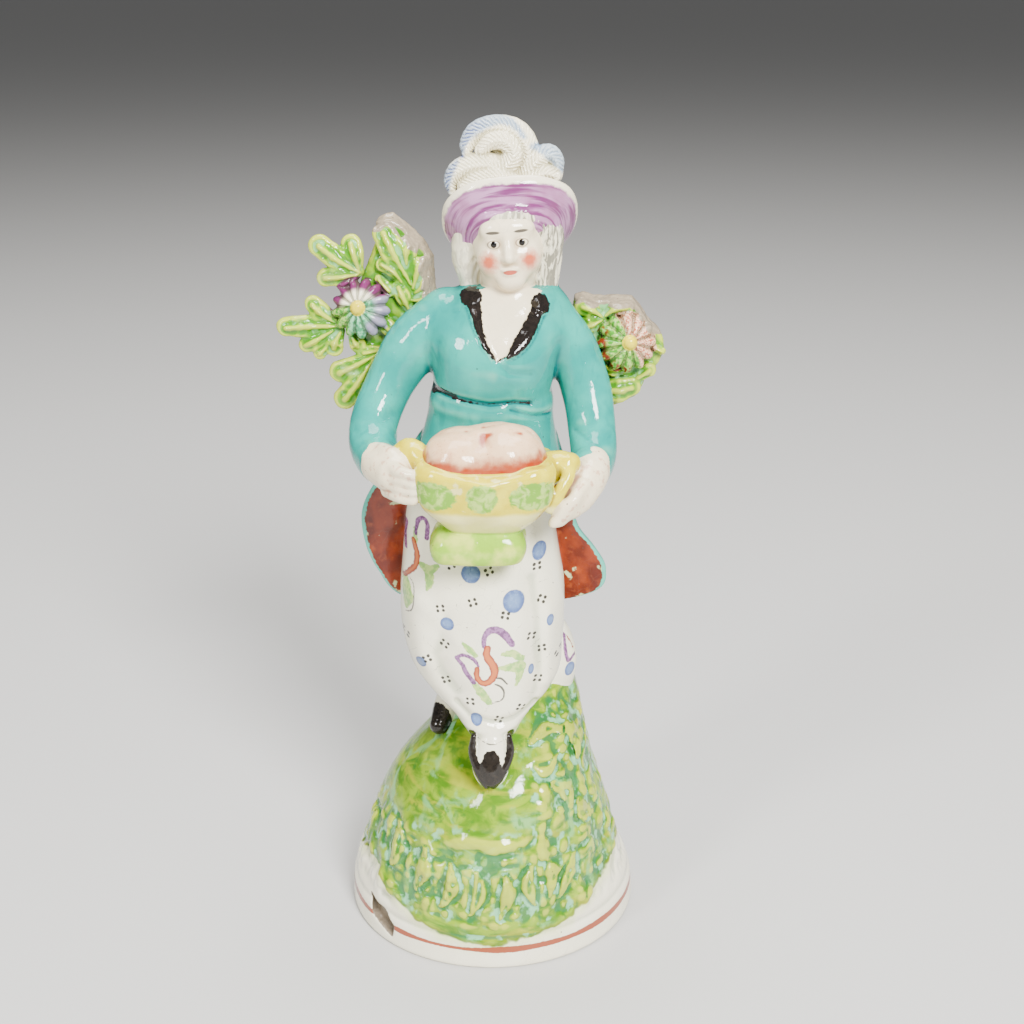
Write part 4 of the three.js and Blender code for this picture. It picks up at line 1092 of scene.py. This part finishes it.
class Glaze:
    """A node tree for one glaze, built up in layers of colour."""

    def __init__(self, name):
        self.material = bpy.data.materials.new(name)
        self.material.use_nodes = True
        self.nodes, self.links = self.material.node_tree.nodes, self.material.node_tree.links
        self.nodes.clear()
        self.place = self.node("ShaderNodeTexCoord").outputs["Object"]

    def node(self, kind, **settings):
        made = self.nodes.new(kind)
        for key, value in settings.items():
            setattr(made, key, value)
        return made

    def feed(self, socket, value):
        if isinstance(value, bpy.types.NodeSocket):
            self.links.new(value, socket)
        else:
            socket.default_value = value

    def math(self, operation, a, b=0.0, c=0.0):
        made = self.node("ShaderNodeMath", operation=operation)
        for socket, value in zip(made.inputs, (a, b, c)):
            self.feed(socket, value)
        return made.outputs[0]

    def plus(self, a, b):
        return self.math("ADD", a, b)

    def times(self, a, b):
        return self.math("MULTIPLY", a, b)

    def attribute(self, name, output="Fac"):
        return self.node("ShaderNodeAttribute", attribute_name=name).outputs[output]

    def split(self, vector):
        made = self.node("ShaderNodeSeparateXYZ")
        self.links.new(vector, made.inputs[0])
        return made.outputs

    def scaled(self, vector, scale):
        made = self.node("ShaderNodeVectorMath", operation="MULTIPLY")
        self.links.new(vector, made.inputs[0])
        made.inputs[1].default_value = scale
        return made.outputs[0]

    def noise(self, size, detail=2.0, vector=None, distortion=0.0):
        """Noise from 0 to 1 with features of about size millimetres."""
        made = self.node("ShaderNodeTexNoise")
        self.links.new(vector or self.place, made.inputs["Vector"])
        made.inputs["Scale"].default_value = 1 / (size * MM) if vector is None else 1 / size
        made.inputs["Detail"].default_value = detail
        made.inputs["Distortion"].default_value = distortion
        return made.outputs["Fac"]

    def strokes(self, size, stretch, distortion=0.6):
        """Brush-like noise, stretched by a factor along each axis."""
        return self.noise(size, 4, self.scaled(self.place, tuple(1000 / s for s in stretch)), distortion)

    def ramp(self, value, low, high, to_low=0.0, to_high=1.0):
        made = self.node("ShaderNodeMapRange", interpolation_type="SMOOTHSTEP")
        for socket, number in zip(made.inputs, (value, low, high, to_low, to_high)):
            self.feed(socket, number)
        return made.outputs["Result"]

    def mix(self, factor, a, b, blend="MIX"):
        made = self.node("ShaderNodeMix", data_type="RGBA", blend_type=blend)
        self.feed(made.inputs["Factor"], factor)
        self.feed(made.inputs[6], a)
        self.feed(made.inputs[7], b)
        return made.outputs[2]

    def painted(self, base, colour, distance, soft=0.12, ragged=0.25, strength=1.0):
        """Puts a colour where a distance is under zero, with a hand-painted edge."""
        wobble = self.times(self.math("SUBTRACT", self.noise(0.9, 2), 0.5), ragged * 2)
        return self.mix(self.ramp(self.plus(distance, wobble), soft, -soft, 0.0, strength), base, colour)

    def crazing(self, colour):
        """Fine cracks in the glaze, in patches."""
        cells = self.node("ShaderNodeTexVoronoi", feature="DISTANCE_TO_EDGE")
        wander = self.node("ShaderNodeTexNoise")
        self.links.new(self.place, wander.inputs["Vector"])
        wander.inputs["Scale"].default_value = 300
        warp = self.node("ShaderNodeVectorMath", operation="ADD")
        self.links.new(self.scaled(wander.outputs["Color"], (0.0012,) * 3), warp.inputs[0])
        self.links.new(self.place, warp.inputs[1])
        self.links.new(warp.outputs[0], cells.inputs["Vector"])
        cells.inputs["Scale"].default_value = 330
        crack = self.ramp(cells.outputs["Distance"], 0.022, 0.0)
        patches = self.ramp(self.noise(14), 0.42, 0.62, 0.0, 0.16)
        return self.mix(self.times(crack, patches), colour, linear(96, 84, 66))

    def specks(self, colour, scale=420, share=0.86):
        """Tiny dark iron specks, and where they are."""
        dots = self.node("ShaderNodeTexVoronoi")
        self.links.new(self.place, dots.inputs["Vector"])
        dots.inputs["Scale"].default_value = scale
        speck = self.ramp(dots.outputs["Distance"], 0.10, 0.05)
        chosen = self.ramp(self.split(dots.outputs["Color"])[0], share, share + 0.02, 0.0, 0.8)
        return self.mix(self.times(speck, chosen), colour, linear(62, 52, 40)), speck

    def finish(self, colour, roughness=0.08, bump=0.1, grain=2.6):
        """Adds crazing, specks and the gloss that all the glazes share."""
        colour, speck = self.specks(self.crazing(colour))
        surface = self.node("ShaderNodeBsdfPrincipled")
        self.links.new(colour, surface.inputs["Base Color"])
        self.feed(surface.inputs["Roughness"], roughness)
        surface.inputs["IOR"].default_value = 1.42
        ripple = self.node("ShaderNodeBump")
        ripple.inputs["Strength"].default_value = bump
        ripple.inputs["Distance"].default_value = 0.0006
        self.links.new(self.plus(self.noise(grain, 3), self.times(speck, -0.2)), ripple.inputs["Height"])
        self.links.new(ripple.outputs["Normal"], surface.inputs["Normal"])
        output = self.node("ShaderNodeOutputMaterial")
        self.links.new(surface.outputs[0], output.inputs["Surface"])
        return self.material

    def pearl(self):
        """The cream-white ground, greyer and darker in its creases: glaze pooling there, and painted shade."""
        base = self.mix(self.noise(9, 2), linear(226, 218, 190), linear(234, 230, 208))
        # Darker in creases: glaze pooling and painted shade.
        return self.mix(self.ramp(self.attribute("edge"), -0.05, -0.6, 0, 0.6), base, linear(168, 174, 146))


def grass_glaze():
    g = Glaze("grass glaze")
    edge = g.attribute("edge")
    streaks = g.strokes(5, (1.8, 1.8, 0.8), 1.4)
    green = g.mix(g.ramp(streaks, 0.36, 0.62), linear(72, 118, 12), linear(128, 158, 24))
    green = g.mix(g.ramp(g.strokes(4, (2.6, 2.6, 0.7)), 0.54, 0.68, 0, 0.7), green, linear(154, 158, 30))
    green = g.mix(g.ramp(g.noise(8, 4, None, 0.8), 0.54, 0.66, 0, 0.75), green, linear(118, 174, 104))
    green = g.mix(g.ramp(g.noise(3.4, 4, None, 0.6), 0.56, 0.68, 0, 0.7), green, linear(52, 110, 30))
    # Paler yellow-green on ridges, where the glaze runs thin and as a painted highlight; darker blue-green in creases,
    # as glaze pooling and painted shade.
    green = g.mix(g.ramp(edge, 0.12, 0.55, 0, 0.65), green, linear(186, 190, 60))
    green = g.mix(g.ramp(edge, -0.06, -0.5, 0, 0.8), green, linear(34, 104, 58))
    pools = g.times(g.ramp(edge, 0.05, -0.2), g.ramp(g.noise(3.0, 3), 0.5, 0.62, 0, 0.8))
    green = g.mix(pools, green, linear(132, 196, 150))
    cream = g.pearl()
    bleed = g.ramp(g.attribute("green"), 3.4, -1.0, 0, 0.5)
    colour = g.mix(bleed, cream, linear(184, 200, 96))
    colour = g.mix(g.ramp(g.attribute("green"), 0.2, -0.4), colour, green)
    rim = g.math("ABSOLUTE", g.plus(g.attribute("green"), 0.5))
    colour = g.mix(g.ramp(rim, 0.7, 0.1, 0, 0.5), colour, linear(96, 104, 20))
    height = g.split(g.place)[2]
    line = g.times(g.math("ABSOLUTE", g.math("SUBTRACT", height, 0.0052)), 1000)
    line = g.math("SUBTRACT", line, g.ramp(g.noise(16, 1), 0.35, 0.65, 0.4, 0.85))
    colour = g.painted(colour, linear(140, 50, 8), line, 0.1, 0.16, 0.95)
    scar = g.mix(g.noise(0.8, 3), linear(88, 78, 66), linear(140, 126, 106))
    colour = g.mix(g.ramp(g.attribute("chip"), 0.3, 0.15), colour, scar)
    return g.finish(colour, 0.09, 0.2)


def trunk_glaze():
    g = Glaze("trunk glaze")
    green = g.mix(g.ramp(g.noise(6, 4), 0.35, 0.65), linear(72, 118, 12), linear(128, 158, 24))
    colour = g.mix(g.ramp(g.noise(9, 3), 0.55, 0.68), green, linear(120, 84, 44))
    return g.finish(colour, 0.12, 0.16)


def dress_glaze():
    g = Glaze("dress glaze")
    colour = g.pearl()
    blue = g.attribute("blue")
    dot = g.mix(g.ramp(blue, -0.6, -0.1), linear(92, 120, 164), linear(58, 84, 138))
    dot = g.mix(g.ramp(g.noise(0.8, 2), 0.5, 0.7, 0, 0.5), dot, linear(116, 142, 180))
    colour = g.painted(colour, dot, blue, 0.05, 0.05, 0.95)
    leaf = g.mix(g.ramp(g.noise(1.2, 3), 0.4, 0.6), linear(120, 170, 70), linear(170, 196, 100))
    colour = g.painted(colour, leaf, g.attribute("leaf"), 0.08, 0.45, 0.9)
    violet = g.mix(g.ramp(g.noise(0.6, 2), 0.4, 0.6), linear(88, 36, 92), linear(138, 88, 140))
    colour = g.painted(colour, violet, g.attribute("purple"), 0.08, 0.2, 0.95)
    red = g.attribute("red")
    rust = g.mix(g.ramp(red, -0.6, -0.1), linear(186, 92, 34), linear(132, 36, 4))
    colour = g.painted(colour, rust, red, 0.1, 0.3, 0.96)
    colour = g.painted(colour, linear(28, 24, 24), g.attribute("black"), 0.07, 0.1, 0.9)
    u, v, away = g.split(g.attribute("speck", "Vector"))
    du = g.math("SUBTRACT", g.math("ABSOLUTE", u), 0.62)
    dv = g.math("SUBTRACT", g.math("ABSOLUTE", v), 0.50)
    spot = g.math("SQRT", g.plus(g.times(du, du), g.times(dv, dv)))
    spot = g.plus(g.math("SUBTRACT", spot, 0.36), away)
    colour = g.painted(colour, linear(22, 19, 20), spot, 0.05, 0.2, 0.95)
    black = g.mix(g.noise(0.9, 3), linear(8, 8, 8), linear(44, 38, 32))
    colour = g.painted(colour, black, g.attribute("shoe"), 0.08, 0.35)
    return g.finish(colour, 0.1, 0.12)


def jacket_glaze():
    g = Glaze("jacket glaze")
    edge = g.attribute("edge")
    teal = g.mix(g.ramp(g.noise(8, 3), 0.3, 0.7), linear(8, 132, 122), linear(36, 156, 140))
    teal = g.mix(g.ramp(g.strokes(3, (0.8, 1, 2.4)), 0.5, 0.75, 0, 0.45), teal, linear(0, 108, 104))
    # Paler on ridges, where the glaze runs thin and as a painted highlight; darker teal in creases, as glaze pooling
    # and painted shade.
    teal = g.mix(g.ramp(edge, 0.1, 0.6, 0, 0.6), teal, linear(104, 190, 164))
    teal = g.mix(g.ramp(edge, -0.04, -0.5, 0, 0.85), teal, linear(0, 78, 80))
    teal = g.mix(g.ramp(g.noise(13, 2), 0.63, 0.74, 0, 0.5), teal, linear(128, 188, 156))
    lining = g.mix(g.ramp(g.noise(5, 3), 0.35, 0.65), linear(130, 44, 8), linear(88, 22, 2))
    lining = g.mix(g.ramp(g.noise(2.4, 3), 0.55, 0.75, 0, 0.5), lining, linear(164, 72, 22))
    distance = g.attribute("lining")
    flaked = g.times(g.ramp(g.noise(3.6, 4), 0.62, 0.66), g.ramp(distance, -2.6, -0.8))
    lining = g.mix(flaked, lining, linear(184, 192, 140))
    colour = g.painted(teal, lining, distance, 0.1, 0.5)
    cream = g.mix(g.noise(3, 2), linear(222, 206, 172), linear(232, 220, 188))
    colour = g.painted(colour, cream, g.attribute("skin"), 0.1, 0.25)
    black = g.mix(g.noise(0.9, 3), linear(8, 8, 8), linear(38, 32, 28))
    colour = g.painted(colour, black, g.attribute("black"), 0.1, 0.45)
    return g.finish(colour, 0.08, 0.2, 3.4)


def head_glaze():
    g = Glaze("face glaze")
    colour = g.mix(g.noise(3, 2), linear(226, 208, 172), linear(236, 222, 192))
    # Painted shade: darker tan in the creases and hollows of the face.
    colour = g.mix(g.ramp(g.attribute("edge"), -0.08, -0.45, 0, 0.55), colour, linear(176, 150, 112))
    u, v, depth = g.split(g.attribute("face", "Vector"))
    side = g.math("ABSOLUTE", u)

    def spot(x, z, rx, rz):
        du = g.math("DIVIDE", g.math("SUBTRACT", side, x), rx)
        dv = g.math("DIVIDE", g.math("SUBTRACT", v, z), rz)
        return g.math("SQRT", g.plus(g.times(du, du), g.times(dv, dv)))

    facing = g.ramp(depth, -3.0, -5.0)

    def dab(base, tint, distance, low, high, strength):
        return g.mix(g.times(g.ramp(distance, low, high, 0, strength), facing), base, tint)

    blush = g.plus(spot(4.3, -3.2, 2.4, 2.6), g.times(g.noise(0.9, 4), 0.7))
    colour = dab(colour, linear(186, 66, 24), blush, 1.6, 0.55, 0.92)
    colour = dab(colour, linear(34, 28, 26), spot(3.0, 3.0, 1.5, 0.34), 1.15, 0.85, 0.92)
    lid = g.math("ABSOLUTE", g.math("SUBTRACT", spot(3.0, 0.5, 1.3, 0.85), 1.0))
    colour = dab(colour, linear(84, 62, 50), lid, 0.16, 0.06, 0.7)
    colour = dab(colour, linear(10, 8, 8), spot(3.0, 0.55, 0.66, 0.74), 1.1, 0.9, 1.0)
    colour = dab(colour, linear(170, 52, 30), spot(0.0, -5.45, 1.55, 0.55), 1.15, 0.8, 0.92)
    return g.finish(colour, 0.09, 0.1)


def hair_glaze():
    g = Glaze("hair glaze")
    colour = g.mix(g.noise(3, 2), linear(222, 212, 182), linear(232, 226, 200))
    strands = g.noise(1.0, 4, g.scaled(g.place, (1000, 1000, 170)), 0.9)
    grey = g.ramp(strands, 0.46, 0.58, 0, 0.85)
    right = g.ramp(g.split(g.place)[0], 0.000, 0.009, 0.35, 1.0)
    colour = g.mix(g.times(grey, right), colour, linear(98, 94, 80))
    return g.finish(colour, 0.1, 0.1)


def hat_glaze():
    g = Glaze("hat glaze")
    place = g.attribute("brim", "Vector")
    around, out, up = g.split(place)
    streaks = g.noise(1.0, 4, g.scaled(place, (0.16, 1.5, 0.4)), 0.4)
    violet = g.mix(g.ramp(streaks, 0.36, 0.62), linear(108, 50, 96), linear(172, 124, 160))
    violet = g.mix(g.ramp(g.noise(6, 2), 0.45, 0.7, 0, 0.45), violet, linear(116, 52, 92))
    cream = g.mix(g.noise(3, 2), linear(222, 210, 182), linear(232, 224, 198))
    worn = g.ramp(g.plus(out, g.times(g.noise(1.6, 3), 0.8)), -0.35, 0.05)
    colour = g.mix(worn, violet, cream)
    colour = g.mix(g.ramp(up, 0.2, 0.8), colour, cream)
    return g.finish(colour, 0.09, 0.12)


def plume_glaze():
    g = Glaze("plume glaze")
    edge = g.attribute("edge")
    colour = g.mix(g.noise(4, 2), linear(226, 216, 184), linear(236, 228, 200))
    # Painted shade: darker in the creases between feathers and barbs.
    colour = g.mix(g.ramp(edge, 0.0, -0.35, 0, 0.6), colour, linear(160, 152, 112))
    distance = g.attribute("blue")
    thick = g.ramp(g.split(g.place)[0], 0.001, -0.0045)
    blue = g.mix(thick, linear(112, 136, 162), linear(40, 72, 138))
    # Paler blue on ridges: thin paint there, and a painted highlight.
    blue = g.mix(g.ramp(edge, 0.0, 0.25, 0, 0.65), blue, linear(176, 190, 196))
    colour = g.painted(colour, blue, distance, 0.5, 0.5, 0.88)
    return g.finish(colour, 0.1, 0.08)


def tureen_glaze():
    g = Glaze("tureen glaze")
    edge = g.attribute("edge")
    yellow = g.mix(g.ramp(g.noise(4, 3), 0.35, 0.7), linear(198, 180, 6), linear(212, 198, 44))
    # Darker yellow in creases: glaze pooling and painted shade.
    yellow = g.mix(g.ramp(edge, -0.04, -0.5, 0, 0.8), yellow, linear(132, 112, 4))
    yellow = g.mix(g.ramp(g.noise(2.6, 3), 0.62, 0.7, 0, 0.6), yellow, linear(226, 220, 160))
    panel = g.mix(g.ramp(g.noise(1.8, 4, None, 0.8), 0.4, 0.62), linear(92, 152, 34), linear(158, 190, 90))
    panel = g.mix(g.ramp(g.noise(0.8, 3), 0.66, 0.72, 0, 0.6), panel, linear(96, 96, 60))
    colour = g.painted(yellow, panel, g.attribute("panel"), 0.25, 0.8, 0.92)
    height = g.attribute("height")
    pale = g.mix(g.noise(3, 2), linear(212, 204, 112), linear(222, 214, 146))
    colour = g.mix(g.ramp(g.plus(height, g.noise(3, 2)), 113.6, 112.4), colour, pale)
    slab = g.mix(g.ramp(g.noise(5, 3), 0.4, 0.65), linear(136, 180, 36), linear(190, 204, 84))
    colour = g.mix(g.ramp(height, 108.0, 107.2), colour, slab)
    return g.finish(colour, 0.08, 0.2)


def food_glaze():
    g = Glaze("food glaze")
    colour = g.mix(g.noise(3, 3), linear(214, 168, 124), linear(228, 198, 160))
    colour = g.mix(g.ramp(g.noise(0.5, 2), 0.6, 0.7, 0, 0.35), colour, linear(170, 110, 70))
    height = g.split(g.place)[2]
    low = g.plus(height, g.times(g.noise(3.5, 4), 0.007))
    colour = g.mix(g.ramp(low, 0.1290, 0.1256, 0, 0.92), colour, linear(146, 44, 8))
    cleft = g.ramp(g.plus(g.attribute("edge"), g.times(g.noise(1.2, 3), 0.15)), 0.06, -0.12, 0, 0.95)
    colour = g.mix(cleft, colour, linear(150, 48, 12))
    return g.finish(colour, 0.08, 0.16)


def hand_glaze():
    g = Glaze("hand glaze")
    colour = g.mix(g.noise(3, 2), linear(218, 200, 164), linear(232, 220, 188))
    stain = g.ramp(g.noise(1.4, 4), 0.56, 0.68, 0, 0.5)
    colour = g.mix(stain, colour, linear(178, 110, 84))
    # Painted shade: darker brown in the creases between fingers.
    colour = g.mix(g.ramp(g.attribute("edge"), 0.0, -0.35, 0, 0.75), colour, linear(150, 92, 62))
    return g.finish(colour, 0.1, 0.12)


def leaf_glaze(warm):
    g = Glaze("leaf glaze")
    edge = g.attribute("edge")
    green = g.mix(g.ramp(g.noise(4, 3), 0.35, 0.7), linear(88, 140, 12), linear(136, 168, 34))
    # Yellowish on ridges and veins, where the glaze runs thin and as a painted highlight; darker green in creases, as
    # glaze pooling and painted shade.
    green = g.mix(g.ramp(edge, 0.06, 0.5, 0, 0.75), green, linear(188, 194, 66))
    green = g.mix(g.ramp(edge, -0.02, -0.4, 0, 0.75), green, linear(50, 116, 22))
    pools = g.times(g.ramp(edge, 0.1, -0.15), g.ramp(g.noise(3.0, 3), 0.52, 0.64, 0, 0.7))
    green = g.mix(pools, green, linear(128, 184, 128))
    green = g.mix(g.ramp(g.noise(9, 2), 0.62, 0.72, 0, 0.5), green, linear(176, 190, 110))
    a, b, reach = g.split(g.attribute("flower", "Vector"))
    streak = g.ramp(g.noise(0.8, 3), 0.42, 0.6)
    leafy = g.mix(streak, linear(62, 132, 30), linear(150, 184, 84))
    if warm:
        petal = g.mix(g.ramp(g.noise(0.45, 3), 0.46, 0.6), linear(222, 184, 150), linear(168, 84, 60))
        side = g.math("SUBTRACT", g.times(b, 0.45), a)
        flower = g.mix(g.ramp(g.plus(side, g.times(g.noise(2.0, 2), 1.6)), 0.6, 1.6), leafy, petal)
        rust = g.times(g.ramp(reach, 4.6, 5.8), g.ramp(g.plus(a, g.times(b, -0.6)), 2.0, 3.6))
        flower = g.mix(g.times(rust, g.ramp(g.noise(1.2, 2), 0.45, 0.55)), flower, linear(110, 36, 12))
    else:
        sea = g.mix(streak, linear(48, 128, 84), linear(118, 184, 140))
        leafy = g.mix(g.ramp(a, 1.0, 3.0), sea, leafy)
        dusk = g.mix(g.noise(1.4, 3), linear(96, 84, 120), linear(160, 160, 168))
        cool = g.times(g.ramp(a, -1.0, -2.6), g.ramp(reach, 3.0, 4.6))
        leafy = g.mix(cool, leafy, dusk)
        petal = g.mix(g.ramp(reach, 3.4, 4.8), linear(228, 220, 190), linear(104, 40, 84))
        flower = g.mix(g.ramp(g.plus(b, g.times(a, 0.3)), 0.9, 1.7), leafy, petal)
    # Painted shade: dark in the creases between petals.
    flower = g.mix(g.ramp(edge, 0.0, -0.4, 0, 0.6), flower, linear(46, 60, 30))
    colour = g.mix(g.ramp(reach, 7.2, 6.9), green, flower)
    boss = g.mix(g.noise(0.8, 2), linear(196, 172, 4), linear(224, 206, 40))
    colour = g.mix(g.ramp(g.attribute("boss"), 0.1, -0.1), colour, boss)
    body = g.mix(g.noise(0.9, 4), linear(112, 100, 82), linear(164, 150, 126))
    colour = g.mix(g.ramp(g.attribute("broken"), 0.25, 0.1), colour, body)
    return g.finish(colour, 0.09, 0.14)


GLAZES = {
    "mound": grass_glaze, "dress": dress_glaze, "jacket": jacket_glaze, "head": head_glaze, "hair": hair_glaze,
    "hat": hat_glaze, "plume": plume_glaze, "hands": hand_glaze, "tureen": tureen_glaze, "food": food_glaze,
    "left_bocage": lambda: leaf_glaze(False), "right_bocage": lambda: leaf_glaze(True), "trunk": trunk_glaze}


def make_pieces():
    for name, (sculpt, low, high, step, slot, neighbours) in PIECES.items():
        piece, places, normal = meshed(name, fired(name))
        if name in PAINT:
            PAINT[name](piece.data, places, normal)
        piece.data.materials.append(GLAZES[name]())
        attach(piece, "root")
        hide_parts("figure")


# Room: floor, lights and camera

def plain_material(name, colour, roughness):
    material = bpy.data.materials.new(name)
    material.use_nodes = True
    surface = material.node_tree.nodes["Principled BSDF"]
    surface.inputs["Base Color"].default_value = colour
    surface.inputs["Roughness"].default_value = roughness
    return material


def make_floor():
    size = 30.0
    mesh = bpy.data.meshes.new("floor")
    mesh.from_pydata([(-size, -size, 0), (size, -size, 0), (size, size, 0), (-size, size, 0)], [], [(0, 1, 2, 3)])
    floor = bpy.data.objects.new("floor", mesh)
    bpy.context.scene.collection.objects.link(floor)
    mesh.materials.append(plain_material("pale floor", (0.50, 0.49, 0.47, 1), 0.7))


def make_light(name, place, target, size, power):
    data = bpy.data.lights.new(name, "AREA")
    data.shape = "RECTANGLE"
    data.size, data.size_y = size
    data.energy = power
    light = bpy.data.objects.new(name, data)
    light.location = place
    way = [t - p for t, p in zip(target, place)]
    flat = math.hypot(way[0], way[1])
    light.rotation_euler = (math.pi / 2 + math.atan2(way[2], flat), 0, math.atan2(way[1], way[0]) - math.pi / 2)
    bpy.context.scene.collection.objects.link(light)


def make_lights():
    middle = (0, 0, 0.1)
    make_light("window", (0.35, -0.85, 0.75), middle, (0.34, 0.34), 42)
    make_light("second window", (-0.62, -0.62, 0.62), middle, (0.16, 0.30), 8)
    make_light("top", (0.0, 0.1, 1.0), middle, (0.6, 0.5), 14)
    world = bpy.context.scene.world or bpy.data.worlds.new("room")
    bpy.context.scene.world = world
    world.use_nodes = True
    world.node_tree.nodes["Background"].inputs[0].default_value = (0.82, 0.83, 0.85, 1)
    world.node_tree.nodes["Background"].inputs[1].default_value = 0.22


def make_camera():
    """The photograph's view: pitched 20 degrees down, in millimetres from the base's middle."""
    place, pitch, focal_pixels, frame_pixels = (4.84, -327.0, 219.6), 20.0, 1500.0, 1024.0
    data = bpy.data.cameras.new("camera")
    data.sensor_width = 36.0
    data.lens = focal_pixels / frame_pixels * data.sensor_width
    data.clip_start = 0.01
    camera = bpy.data.objects.new("camera", data)
    camera.location = tuple(c * MM for c in place)
    camera.rotation_euler = (math.radians(90 - pitch), 0, 0)
    bpy.context.scene.collection.objects.link(camera)
    bpy.context.scene.camera = camera


make_camera()
make_pieces()
make_floor()
make_lights()
